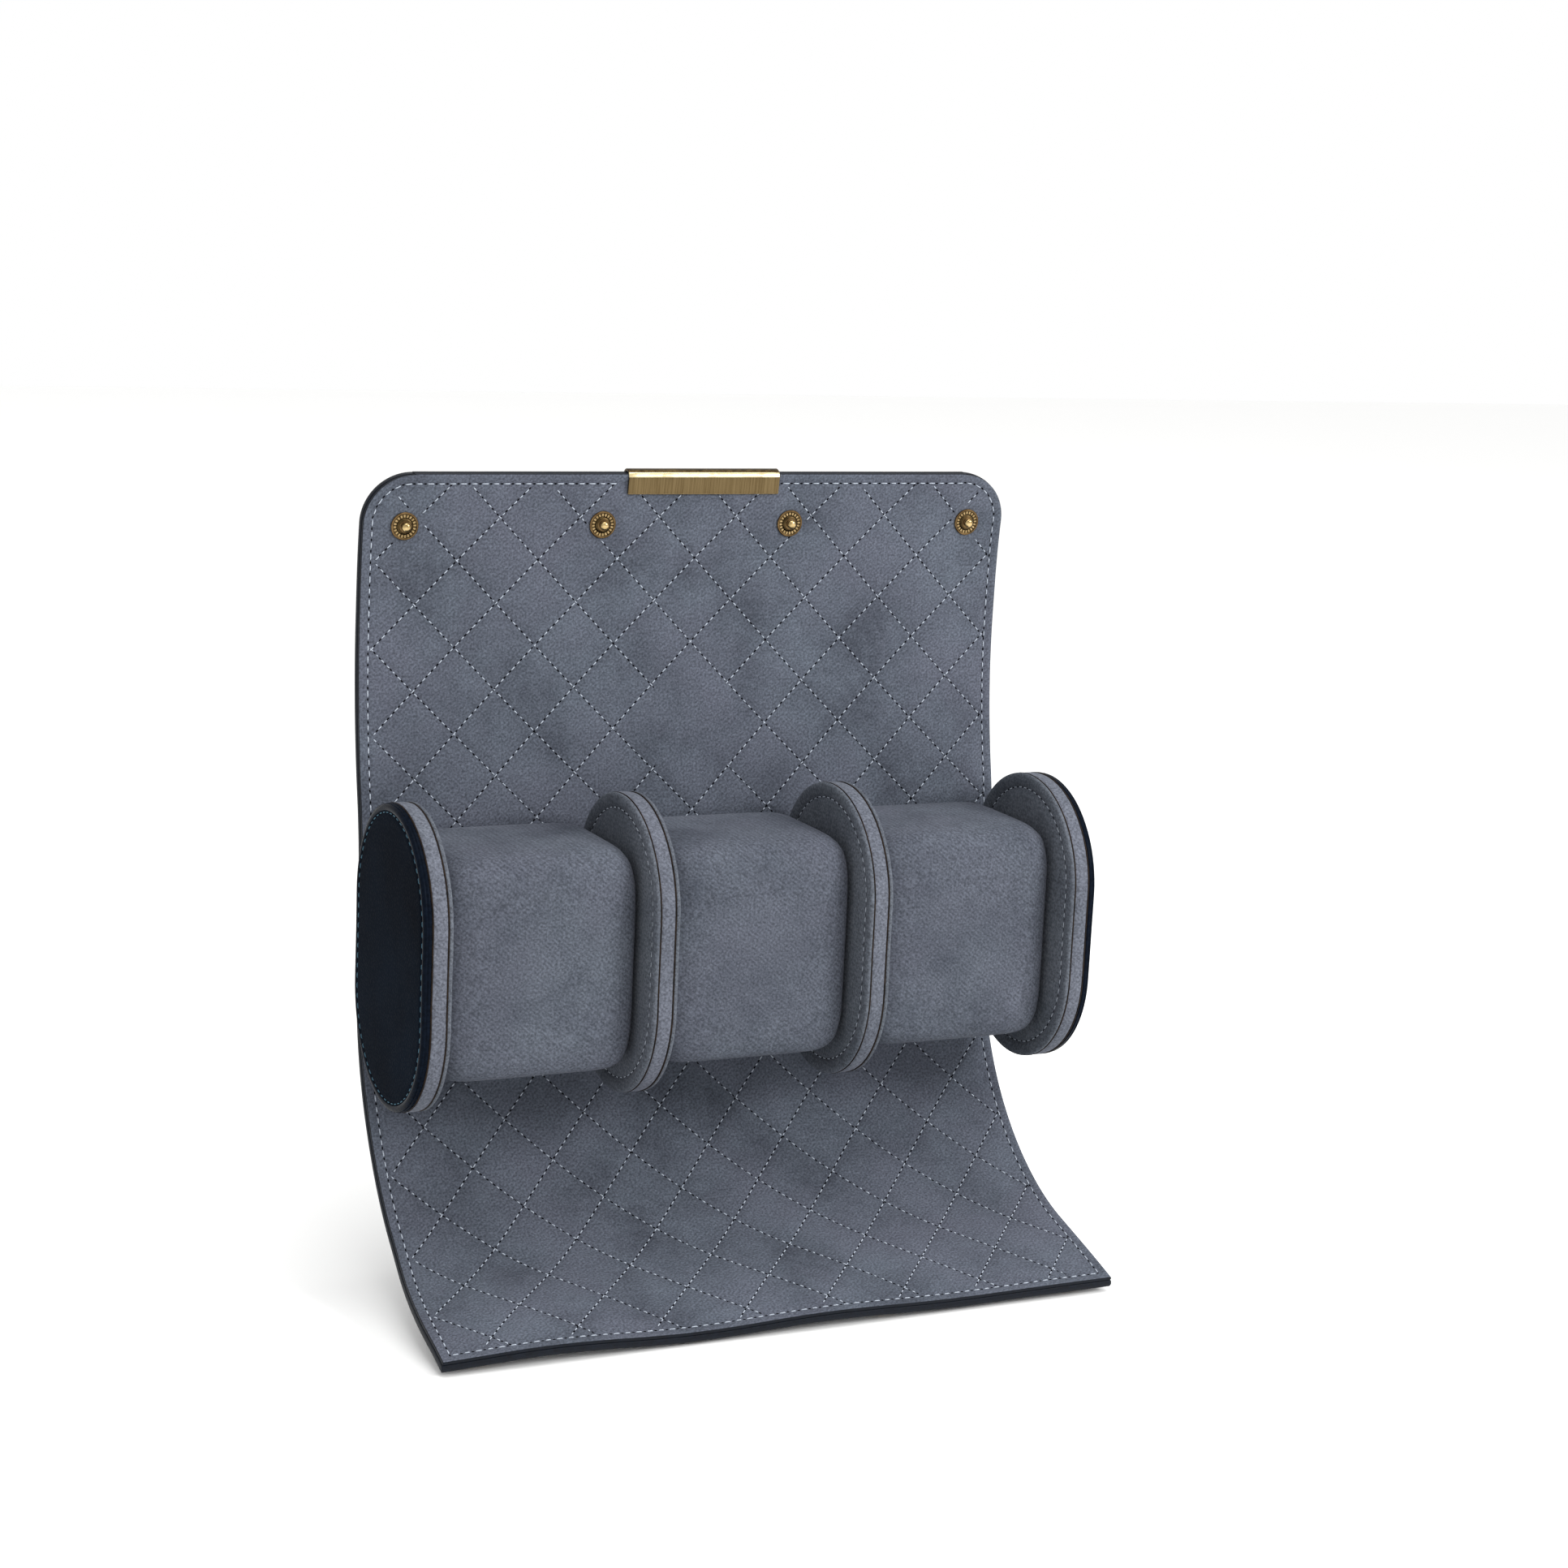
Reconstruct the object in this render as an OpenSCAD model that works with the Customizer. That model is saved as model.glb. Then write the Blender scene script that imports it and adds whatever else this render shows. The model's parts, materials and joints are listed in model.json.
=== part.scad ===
// Three-place watch roll, shown open: a lined leather flap round four upright dividers,
// with three removable cushions between them and ring snaps that close the flap.
// +X runs along the roll, the front faces -Y and +Z is up. All sizes are in millimetres.

/* [Dividers] */
// Length of the roll over its two end dividers
roll_length = 192; // [170:1:230]
// Height of a divider
divider_height = 80; // [74:1:92]
// Depth of a divider, front to back; its top and bottom are half rounds of this width
divider_depth = 56; // [50:1:62]
// Thickness of the board inside a divider
board_t = 4.5; // [3:0.5:6]
// Thickness of the suede on a divider's faces
face_suede_t = 0.9; // [0.6:0.1:1.4]
// Thickness of the leather on the outer faces of the end dividers
face_leather_t = 2.1; // [1.2:0.1:3]
// Thickness of the suede band round a divider's rim
band_t = 0.9; // [0.6:0.1:1.4]
// Radius of the rounded edge of a divider's faces
face_edge_r = 0.5; // [0.2:0.1:0.6]

/* [Flap] */
// Width of the flap
flap_width = 189; // [150:1:189]
// Thickness of the outer leather
leather_t = 1.3; // [1:0.1:2]
// Thickness of the interlining
interlining_t = 0.8; // [0.8:0.1:1.5]
// Thickness of the suede lining
lining_t = 0.9; // [0.6:0.1:1.4]
// Length of the upper flap's last stretch, from its last crease to its top edge
upper_last = 20.6; // [18.6:0.2:24]
// Length of the lower flap's last stretch, from its last crease to its bottom edge
lower_last = 42; // [41.5:0.5:46]
// Radius of the two top corners
corner_r = 13.7; // [4:0.1:16]

/* [Open pose] */
// Lean of the upper flap away from the front at its first crease, in degrees
upper_lean = 12; // [0:1:14]
// Turn towards the front at each further crease of the upper flap, in degrees
upper_curl = 6.7; // [4:0.1:9]
// Turn towards the front at each crease of the lower flap, in degrees
lower_curl = 18.4; // [10:0.1:20]
// How far the upper flap leans back past the open pose at its first crease, in degrees
lean_back = 12; // [6:1:12]

/* [Closing fit] */
// Gap between the closed lower flap and the dividers
wrap_gap = 0.5; // [0.4:0.1:1]
// Gap between the closed upper flap's lining and the lower flap's leather
snap_gap = 1.1; // [1.1:0.1:1.6]
// Gap between the ends of two stretches at a crease
crease_gap = 0.1; // [0.05:0.05:0.2]

/* [Cushions] */
// Height of a cushion
cushion_height = 60.6; // [50:0.2:66]
// How far a cushion's front lies behind the dividers' front edge
cushion_setback = 8; // [5:0.5:14]
// Gap between a cushion and each divider, at the crown of its ends
cushion_end_gap = 0.4; // [0.3:0.1:2]
// Gap between a cushion and the lining behind it
cushion_back_gap = 0.3; // [0.3:0.1:2]
// Height of a cushion's middle below the middle of the dividers
cushion_drop = 1; // [0:0.5:4]
// Thickness of a cushion's cover at the middle of each side
cover_t = 1.6; // [1.2:0.1:3]

/* [Hardware] */
// Length of the edge bar
bar_length = 45; // [20:1:80]
// Height of the edge bar
bar_height = 6.6; // [5:0.2:9]
// Thickness of the edge bar's metal
bar_t = 0.8; // [0.5:0.1:0.8]
// Rise of the edge bar above the flap's top edge
bar_rise = 1; // [0.8:0.1:1.6]
// Distance between neighbouring snaps
snap_pitch = 55.3; // [40:0.1:58]
// Height of the snap row below the flap's top edge
snap_inset = 14; // [10:0.1:14]
// Diameter of a snap's ring
snap_d = 7.5; // [6.6:0.1:8]
// Diameter of a stud's ball
ball_d = 3; // [2.6:0.1:3.2]
// Diameter of a post's flange
flange_d = 6; // [5:0.1:7]

/* [Hidden] */
$fn = 96;
SNAPS = 4;
STRETCHES = 4;
PARTINGS = 4;
CUSHIONS = 3;
closed_turn = 180 / STRETCHES;
ring_h = 0.5;
stud_h = 2.4;
neck_r = 1.15;
post_r = 0.8;
post_fit = 0.05;
flange_t = 0.3;
rim_h = 0.4;
mouth_gap = 0.15;
cup_wall = 0.45;
cup_floor = 0.2;
ball_gap = 0.2;
bevel_fit = 0.1;

// Dividers and the spaces between them
end_r = divider_depth / 2;
straight_h = divider_height - divider_depth;
end_divider_t = face_leather_t + board_t + face_suede_t;
mid_divider_t = 2 * face_suede_t + board_t;
bay_w = (roll_length - 2 * (end_divider_t + mid_divider_t)) / (PARTINGS - 1);
divider_x = [
    -roll_length / 2,
    -roll_length / 2 + end_divider_t + bay_w,
    bay_w / 2,
    roll_length / 2 - end_divider_t
];

// The closed flap is half an octagon at each end of the dividers, a little larger than their rims.
// Its first stretch rises at 45 degrees from a crease at this height on the back panel:
flap_t = lining_t + interlining_t + leather_t;
crease_z = straight_h / 2 - end_r + sqrt(2) * (end_r + wrap_gap);
lower_front = end_r + wrap_gap;
wrap_len = (end_r + lower_front) / (1 + sqrt(2));
wrap_top = crease_z + wrap_len / sqrt(2);
upper_front = lower_front + flap_t + snap_gap;
// The upper flap's third stretch slopes down past the rim and past the lower flap's edge.
lower_edge_z = lower_last - crease_z;
past_rim = straight_h / 2 + sqrt(2) * (end_r + wrap_gap);
past_edge = lower_edge_z + lower_front + flap_t + sqrt(2) * snap_gap / 2;
slope_sum = max(past_rim, past_edge);
top_turn_y = wrap_top - slope_sum;
upper_len = [
    wrap_len,
    end_r - wrap_len / sqrt(2) - top_turn_y,
    (upper_front + top_turn_y) * sqrt(2),
    upper_last
];
lower_len = [wrap_len, wrap_len, wrap_len, lower_last];

// Headings in the Y-Z plane, in degrees from +Y towards +Z
upper_heading = [for (i = [0 : STRETCHES - 1]) 90 - upper_lean + i * upper_curl];
lower_heading = [for (i = [0 : STRETCHES - 1]) -90 - (i + 1) * lower_curl];
follow = (closed_turn - upper_curl) / (closed_turn + upper_lean);
first_bevel = (upper_lean + lean_back) / 2 + bevel_fit;
next_bevel = max(0, lean_back * follow - upper_curl) / 2 + bevel_fit;
upper_bevel = [first_bevel, next_bevel, next_bevel, next_bevel, 0];

function ray(a) = [cos(a), sin(a)];
function crease(base, headings, lengths, i) = i == 0
    ? base
    : crease(base, headings, lengths, i - 1) + lengths[i - 1] * ray(headings[i - 1]);

upper_base = [end_r, crease_z];
lower_base = [end_r, -crease_z];
upper_crease = [for (i = [0 : STRETCHES]) crease(upper_base, upper_heading, upper_len, i)];
lower_crease = [for (i = [0 : STRETCHES]) crease(lower_base, lower_heading, lower_len, i)];

// The origin is the middle of the underside of the whole roll's box.
upper_out = [for (i = [0 : STRETCHES - 1]) flap_t * ray(upper_heading[i] - 90)];
lower_out = [for (i = [0 : STRETCHES - 1]) flap_t * ray(lower_heading[i] + 90)];
back_reach = [for (i = [0 : STRETCHES - 1]) max(
    upper_crease[i].x + upper_out[i].x,
    upper_crease[i + 1].x + upper_out[i].x
)];
front_reach = min(lower_crease[STRETCHES].x, -end_r);
underside = (lower_crease[STRETCHES] + lower_out[STRETCHES - 1]).y;
shift_y = -(max(back_reach) + front_reach) / 2;
shift_z = -underside;

// Cushions
cushion_w = bay_w - 2 * cushion_end_gap;
cushion_front = -end_r + cushion_setback;
cushion_back = end_r - cushion_back_gap;
cushion_depth = cushion_back - cushion_front;
cushion_y = (cushion_front + cushion_back) / 2;
end_power = 7;
side_power = 5;
cover_rings = 20;
cover_points = 32;
foam_rings = 14;
foam_points = 24;
foam_fit = 0.1;

// Snaps keep their pitch, unless the flap is too narrow for the outer ones.
snap_edge = 6.5;
snap_step = min(snap_pitch, (flap_width - snap_d - 2 * snap_edge) / (SNAPS - 1));
snap_x = [for (i = [0 : SNAPS - 1]) (i - (SNAPS - 1) / 2) * snap_step];
stud_along = upper_last - snap_inset;
closed_edge_z = slope_sum - upper_front - upper_last;
snap_z = closed_edge_z + snap_inset;
socket_along = crease_z + snap_z;
mouth_r = ball_d / 2 + mouth_gap;
cavity_r = mouth_r + 0.25;
cup_r = cavity_r + cup_wall;
cup_depth = stud_h + ball_gap - snap_gap;

suede = "#5d6571";
suede_dark = "#4c5561";
leather = "#162230";
board = "#b9a684";
felt = "#6d6a66";
foam = "#d8d2c0";
brass = "#a08850";

// From the dividers' middle to the origin's frame
module placed() translate([0, shift_y, shift_z]) children();

// An outline in Y and Z, drawn out along X and centred on it
module along_x(width) rotate([90, 0, 90]) linear_extrude(width, center = true) children();

// The four corners of one layer of a stretch, from depth n0 to n1 below the lining's face.
// side is -1 on the upper flap and +1 on the lower one.
function layer_corner(base, heading, side, along, n) = base + along * ray(heading) + n * ray(heading + side * 90);
function layer_points(base, heading, side, length, n0, n1, bevel_a, bevel_b, free_end) =
    let(end_gap = free_end ? 0 : crease_gap / 2)
    [
        layer_corner(base, heading, side, crease_gap / 2 + n0 * tan(bevel_a), n0),
        layer_corner(base, heading, side, length - end_gap - n0 * tan(bevel_b), n0),
        layer_corner(base, heading, side, length - end_gap - n1 * tan(bevel_b), n1),
        layer_corner(base, heading, side, crease_gap / 2 + n1 * tan(bevel_a), n1)
    ];

layer_top = [0, lining_t, lining_t + interlining_t, flap_t];

// One layer of the back panel: 0 lining, 1 stiffener, 2 leather
module back_layer(k) along_x(flap_width) polygon(layer_points(
    lower_base, 90, -1, 2 * crease_z, layer_top[k], layer_top[k + 1], 0, first_bevel, false
));

// One layer of a stretch of the upper flap
module upper_strip(i, k) along_x(flap_width) polygon(layer_points(
    upper_crease[i], upper_heading[i], -1, upper_len[i], layer_top[k], layer_top[k + 1],
    upper_bevel[i], upper_bevel[i + 1], i == STRETCHES - 1
));

// One layer of a stretch of the lower flap
module lower_strip(i, k) along_x(flap_width) polygon(layer_points(
    lower_crease[i], lower_heading[i], 1, lower_len[i], layer_top[k], layer_top[k + 1],
    0, 0, i == STRETCHES - 1
));

// A stretch's own frame: local X along the roll, local Y along the stretch from its
// crease and local Z out of the lining's face.
module on_upper(i) translate([0, upper_crease[i].x, upper_crease[i].y])
    rotate([upper_heading[i], 0, 0]) children();
module on_lower(i) translate([0, lower_crease[i].x, lower_crease[i].y])
    rotate([lower_heading[i], 0, 0]) mirror([0, 0, 1]) children();

// The upper flap's outline with its two rounded top corners
module rounded_edge() translate([0, 0, -2 * flap_t]) linear_extrude(4 * flap_t) {
    translate([-flap_width / 2, -flap_t]) square([flap_width, upper_last - corner_r + flap_t]);
    translate([-flap_width / 2 + corner_r, -flap_t])
        square([flap_width - 2 * corner_r, upper_last + flap_t]);
    for (x = [-1, 1]) translate([x * (flap_width / 2 - corner_r), upper_last - corner_r])
        circle(corner_r);
}

module at_snaps(along) for (x = snap_x) translate([x, along, 0]) children();

module back_leather() color(leather) placed() back_layer(2);
module back_stiffener() color(board) placed() back_layer(1);
module back_lining() color(suede) placed() back_layer(0);

module upper_leather(i) color(leather) placed() upper_layer(i, 2);
module upper_interlining(i) color(felt) placed() upper_layer(i, 1);
module upper_lining(i) color(suede) placed() upper_layer(i, 0);

// The last stretch has the rounded corners and the holes for the stud posts.
module upper_layer(i, k) {
    if (i < STRETCHES - 1) upper_strip(i, k);
    else difference() {
        intersection() {
            upper_strip(i, k);
            on_upper(i) rounded_edge();
        }
        if (k < 2) on_upper(i) at_snaps(stud_along) {
            translate([0, 0, -flap_t]) cylinder(h = flap_t, r = post_r + post_fit);
            if (k == 1) translate([0, 0, -lining_t - interlining_t])
                cylinder(h = flange_t, d = flange_d + 2 * post_fit);
        }
    }
}

module lower_leather(i) color(leather) placed() lower_layer(i, 2);
module lower_interlining(i) color(felt) placed() lower_layer(i, 1);
module lower_lining(i) color(suede) placed() lower_layer(i, 0);

// The last stretch has the holes for the snap sockets and their posts.
module lower_layer(i, k) {
    if (i < STRETCHES - 1) lower_strip(i, k);
    else difference() {
        lower_strip(i, k);
        if (k > 0) on_lower(i) at_snaps(socket_along) {
            translate([0, 0, -flap_t - 1]) cylinder(h = flap_t - lining_t - flange_t + 1, r = cup_r + post_fit);
            if (k == 1) translate([0, 0, -lining_t - flange_t])
                cylinder(h = flange_t + 0.01, d = flange_d + 2 * post_fit);
        }
    }
}

// A divider's plate in profile: [distance from the middle line, height through the plate].
// round_low and round_high round the rim's two edges.
function plate_profile(r, t, round_low, round_high) = concat(
    [[0, 0]],
    round_low > 0
        ? [for (a = [-90 : 15 : 0]) [r - round_low + round_low * cos(a), round_low + round_low * sin(a)]]
        : [[r, 0]],
    round_high > 0
        ? [for (a = [0 : 15 : 90]) [r - round_high + round_high * cos(a), t - round_high + round_high * sin(a)]]
        : [[r, t]],
    [[0, t]]
);

// A plate with half-round ends, from x = 0 to x = t
module plate(r, t, round_low = 0, round_high = 0) {
    profile = plate_profile(r, t, round_low, round_high);
    for (turn = [0, 180]) rotate([turn, 0, 0]) {
        translate([0, 0, straight_h / 2]) rotate([90, 0, 90])
            rotate_extrude(angle = 180) polygon(profile);
        translate([0, 0, -straight_h / 2]) rotate([0, 0, -90])
            linear_extrude(straight_h) polygon(profile);
    }
}

function left_t(i) = i == 0 ? face_leather_t : face_suede_t;
function right_t(i) = i == PARTINGS - 1 ? face_leather_t : face_suede_t;
function board_x(i) = divider_x[i] + left_t(i);

module divider_board(i) color(board) placed() translate([board_x(i), 0, 0])
    plate(end_r - band_t, board_t);

module divider_band(i) color(suede) placed() translate([board_x(i), 0, 0]) difference() {
    plate(end_r, board_t);
    translate([-board_t, 0, 0]) plate(end_r - band_t, 3 * board_t);
}

module divider_left_face(i) color(i == 0 ? leather : suede_dark) placed()
    translate([divider_x[i], 0, 0]) plate(end_r, left_t(i), round_low = face_edge_r);

module divider_right_face(i) color(i == PARTINGS - 1 ? leather : suede_dark) placed()
    translate([board_x(i) + board_t, 0, 0]) plate(end_r, right_t(i), round_high = face_edge_r);

// A cushion is a soft block whose ends and sides are crowned and drawn in at the corners.
// Each ring lies at an angle t from the middle, each of its points at an angle p round it.
function reach(c, s, power) = pow(pow(abs(c), power) + pow(abs(s), power), -1 / power);
function ring_point(half, t, p) =
    let(e = reach(cos(t), sin(t), end_power), s = reach(cos(p), sin(p), side_power))
    [
        half.x * sin(t) * e,
        half.y * cos(t) * e * cos(p) * s,
        half.z * cos(t) * e * sin(p) * s
    ];

// A crowned block of the given half sizes, with poles at the middles of its two ends
module crowned_block(half, rings, points) {
    ends = [[-half.x, 0, 0], [half.x, 0, 0]];
    body = [for (k = [1 : rings - 1], j = [0 : points - 1])
        ring_point(half, -90 + 180 * k / rings, 360 * j / points)];
    last = 2 + (rings - 2) * points;
    faces = concat(
        [for (j = [0 : points - 1]) [0, 2 + j, 2 + (j + 1) % points]],
        [for (k = [0 : rings - 3], j = [0 : points - 1]) each [
            [2 + k * points + j, 2 + (k + 1) * points + j, 2 + k * points + (j + 1) % points],
            [2 + k * points + (j + 1) % points, 2 + (k + 1) * points + j, 2 + (k + 1) * points + (j + 1) % points]
        ]],
        [for (j = [0 : points - 1]) [1, last + (j + 1) % points, last + j]]
    );
    polyhedron(concat(ends, body), faces);
}

cushion_half = [cushion_w, cushion_depth, cushion_height] / 2;
foam_half = cushion_half - cover_t * [1, 1, 1];

module in_bay(i) placed() translate([(i - 1) * (bay_w + mid_divider_t), cushion_y, -cushion_drop])
    children();

module cushion_cover(i) color(suede) in_bay(i) difference() {
    crowned_block(cushion_half, cover_rings, cover_points);
    crowned_block(foam_half, foam_rings, foam_points);
}

module cushion_foam(i) color(foam) in_bay(i)
    crowned_block(foam_half - foam_fit * [1, 1, 1], foam_rings, foam_points);

// The bar is folded over the flap's edge; its top is a half round.
module edge_bar() color(brass) placed() on_upper(STRETCHES - 1)
    rotate([90, 0, 90]) linear_extrude(bar_length, center = true) difference() {
        union() {
            translate([upper_last + bar_rise - bar_height, -flap_t - bar_t])
                square([bar_height - flap_t / 2 - bar_t, flap_t + 2 * bar_t]);
            translate([upper_last + bar_rise - flap_t / 2 - bar_t, -flap_t / 2])
                circle(flap_t / 2 + bar_t);
        }
        translate([upper_last + bar_rise - bar_height - 1, -flap_t])
            square([bar_height + 1 - bar_rise, flap_t]);
    }

// A stud: a ring, a sunken ledge, a dome and a ball on a neck, over a blind hole for its post
ball_z = 1.55;
stud_profile = concat(
    [[0, 0], [snap_d / 2 - 0.15, 0], [snap_d / 2, 0.2], [snap_d / 2 - 0.1, 0.4], [snap_d / 2 - 0.35, ring_h],
     [snap_d / 2 - 0.6, 0.4], [snap_d / 2 - 0.7, 0.25], [2.35, 0.25], [2.2, ring_h], [neck_r + 0.3, ring_h + 0.12],
     [neck_r, ring_h + 0.3]],
    [for (a = [-40 : 16 : 72]) [ball_d / 2 * cos(a), ball_z + (stud_h - ball_z) * sin(a)]],
    [[0, stud_h]]
);

module snap_studs() color(brass) placed() on_upper(STRETCHES - 1) at_snaps(stud_along) difference() {
    rotate_extrude() polygon(stud_profile);
    translate([0, 0, -1]) cylinder(h = 1 + ring_h, r = post_r + post_fit);
}

module stud_posts() color(brass) placed() on_upper(STRETCHES - 1) at_snaps(stud_along) {
    translate([0, 0, -lining_t - interlining_t]) cylinder(h = flange_t, d = flange_d);
    translate([0, 0, -lining_t - interlining_t]) cylinder(h = lining_t + interlining_t + ring_h, r = post_r);
}

// A socket: a rolled rim on the leather and a cup in the flap that takes the ball
socket_profile = [
    [0, -cup_depth - cup_floor], [cup_r, -cup_depth - cup_floor], [cup_r, 0], [snap_d / 2 - 0.15, 0],
    [snap_d / 2, 0.15], [snap_d / 2 - 0.15, rim_h - 0.1], [snap_d / 2 - 0.45, rim_h], [mouth_r + 0.15, rim_h],
    [mouth_r, rim_h - 0.15], [mouth_r, 0], [cavity_r, -0.2], [cavity_r, -cup_depth], [0, -cup_depth]
];

module snap_sockets() color(brass) placed() on_lower(STRETCHES - 1) at_snaps(socket_along)
    translate([0, 0, -flap_t]) mirror([0, 0, 1]) rotate_extrude() polygon(socket_profile);

module socket_posts() color(brass) placed() on_lower(STRETCHES - 1) at_snaps(socket_along) {
    translate([0, 0, -lining_t - flange_t]) cylinder(h = flange_t, d = flange_d);
    translate([0, 0, -flap_t + cup_depth + cup_floor])
        cylinder(h = flap_t - cup_depth - cup_floor - lining_t, r = post_r);
}

back_leather();
back_stiffener();
back_lining();
for (i = [0 : STRETCHES - 1]) {
    upper_leather(i);
    upper_interlining(i);
    upper_lining(i);
    lower_leather(i);
    lower_interlining(i);
    lower_lining(i);
}
for (i = [0 : PARTINGS - 1]) {
    divider_board(i);
    divider_band(i);
    divider_left_face(i);
    divider_right_face(i);
}
for (i = [0 : CUSHIONS - 1]) {
    cushion_cover(i);
    cushion_foam(i);
}
edge_bar();
snap_studs();
stud_posts();
snap_sockets();
socket_posts();
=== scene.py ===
import json
import math
import bmesh
import bpy
import numpy as np
from mathutils import Matrix, Vector

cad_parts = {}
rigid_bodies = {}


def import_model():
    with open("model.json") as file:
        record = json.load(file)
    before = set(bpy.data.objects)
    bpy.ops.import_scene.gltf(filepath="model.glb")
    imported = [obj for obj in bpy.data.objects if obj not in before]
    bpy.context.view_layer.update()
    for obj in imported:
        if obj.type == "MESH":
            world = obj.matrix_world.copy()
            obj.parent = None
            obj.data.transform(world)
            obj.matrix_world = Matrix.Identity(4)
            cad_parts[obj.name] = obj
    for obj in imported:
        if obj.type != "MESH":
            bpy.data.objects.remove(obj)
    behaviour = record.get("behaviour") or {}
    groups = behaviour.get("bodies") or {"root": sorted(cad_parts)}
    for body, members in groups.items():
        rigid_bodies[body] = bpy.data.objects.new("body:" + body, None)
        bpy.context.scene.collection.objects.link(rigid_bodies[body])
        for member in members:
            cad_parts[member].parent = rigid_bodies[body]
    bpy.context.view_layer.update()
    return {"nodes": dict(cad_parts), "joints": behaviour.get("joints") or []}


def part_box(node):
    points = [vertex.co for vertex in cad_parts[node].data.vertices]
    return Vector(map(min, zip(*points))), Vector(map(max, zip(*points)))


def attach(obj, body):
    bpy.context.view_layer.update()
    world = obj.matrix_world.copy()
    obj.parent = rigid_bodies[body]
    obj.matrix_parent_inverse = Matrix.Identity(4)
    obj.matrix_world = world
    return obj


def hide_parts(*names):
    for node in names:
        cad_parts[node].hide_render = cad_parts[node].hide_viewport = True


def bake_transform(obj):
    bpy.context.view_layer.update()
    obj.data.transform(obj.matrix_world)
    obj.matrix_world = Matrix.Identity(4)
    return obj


for leftOver in list(bpy.data.objects):  # Blender's own starting objects
    bpy.data.objects.remove(leftOver)
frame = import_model()
nodes = frame["nodes"]
foldAt = {j["name"]: j.get("pos_m") for j in frame["joints"]}
mm = 0.001
print("watch roll: frame loaded,", len(nodes), "nodes")

# --- camera, floor and light ---

camera = {"place": (-0.33754, -0.71883, 0.29516), "yaw": 25.806, "dip": 11.301, "tilt": -2.693, "lens": 70.63}
studio = {"backdrop": "#ffffff", "roomLight": 0.97, "floor": "#fdfdfc", "floorSize": 6.0, "aim": (0, 0, 0.1),
          "key": 11.5, "keyPlace": (0.82, -0.90, 0.70), "keySize": 0.5,
          "top": 17.0, "topPlace": (0.15, -0.30, 1.90), "topSize": 1.5}


def linearColor(hexText):  # an sRGB hex colour as Blender's linear one
    parts = [int(hexText[i:i + 2], 16) / 255 for i in (1, 3, 5)]
    return [p / 12.92 if p <= 0.04045 else ((p + 0.055) / 1.055) ** 2.4 for p in parts] + [1.0]


def newObject(name, data):
    made = bpy.data.objects.new(name, data)
    bpy.context.scene.collection.objects.link(made)
    return made


def addNode(tree, kind, settings=None, links=None):
    # one node with its settings and its incoming links; a node named as a source stands for its first output
    node = tree.nodes.new("ShaderNode" + kind)
    for key, value in (settings or {}).items():
        if key == "stops":  # a ramp's (position, sRGB hex) pairs
            for stop, (where, color) in zip(node.color_ramp.elements, value):
                stop.position, stop.color = where, linearColor(color)
        elif isinstance(key, int) or key in node.inputs:
            node.inputs[key].default_value = value
        else:
            setattr(node, key, value)
    for key, source in (links or {}).items():
        tree.links.new(source.outputs[0] if isinstance(source, bpy.types.Node) else source, node.inputs[key])
    return node


def makeCamera():
    data = bpy.data.cameras.new("photoView")
    data.lens, data.sensor_width = camera["lens"], 36
    data.clip_start, data.clip_end = 0.05, 20
    yaw, dip, tilt = (math.radians(camera[k]) for k in ("yaw", "dip", "tilt"))
    ahead = Vector((math.sin(yaw) * math.cos(dip), math.cos(yaw) * math.cos(dip), -math.sin(dip)))
    level = Vector((math.cos(yaw), -math.sin(yaw), 0))
    below = ahead.cross(level)
    right = level * math.cos(tilt) + below * math.sin(tilt)
    down = below * math.cos(tilt) - level * math.sin(tilt)
    eye = bpy.context.scene.camera = newObject("photoView", data)
    eye.matrix_world = Matrix.Translation(camera["place"]) @ Matrix((right, -down, -ahead)).transposed().to_4x4()


def makeLight(name, place, size, power):
    data = bpy.data.lights.new(name, "AREA")
    data.shape, data.size, data.energy = "DISK", size, power
    light = newObject(name, data)
    light.location = place
    light.rotation_euler = (Vector(studio["aim"]) - Vector(place)).to_track_quat("-Z", "Y").to_euler()


makeCamera()
for lamp in ("key", "top"):
    makeLight(lamp + "Light", studio[lamp + "Place"], studio[lamp + "Size"], studio[lamp])
world = bpy.data.worlds.new("paleRoom")
world.use_nodes = True
world.node_tree.nodes.clear()
direct = addNode(world.node_tree, "LightPath")  # the white backdrop lights a little less than it shows
glow = addNode(world.node_tree, "MapRange", {"To Min": studio["roomLight"], "To Max": 1.0}, {"Value": direct})
backdrop = addNode(world.node_tree, "Background", {"Color": linearColor(studio["backdrop"])}, {"Strength": glow})
addNode(world.node_tree, "OutputWorld", links={"Surface": backdrop})
bpy.context.scene.world = world
bpy.context.scene.view_settings.view_transform = "Standard"
print("camera and light set")

# --- materials ---


def newMaterial(name, onSheet=False):
    # an empty material, and where its pattern is drawn: in the sheet's own metres or in the object's
    material = bpy.data.materials.new(name)
    material.use_nodes = True
    tree = material.node_tree
    tree.nodes.clear()
    if onSheet:
        return material, tree, addNode(tree, "UVMap", {"uv_map": "cloth"})
    return material, tree, addNode(tree, "TexCoord").outputs["Object"]


def addSurface(tree, settings, links):
    shader = addNode(tree, "BsdfPrincipled", settings, links)
    addNode(tree, "OutputMaterial", links={"Surface": shader})


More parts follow.
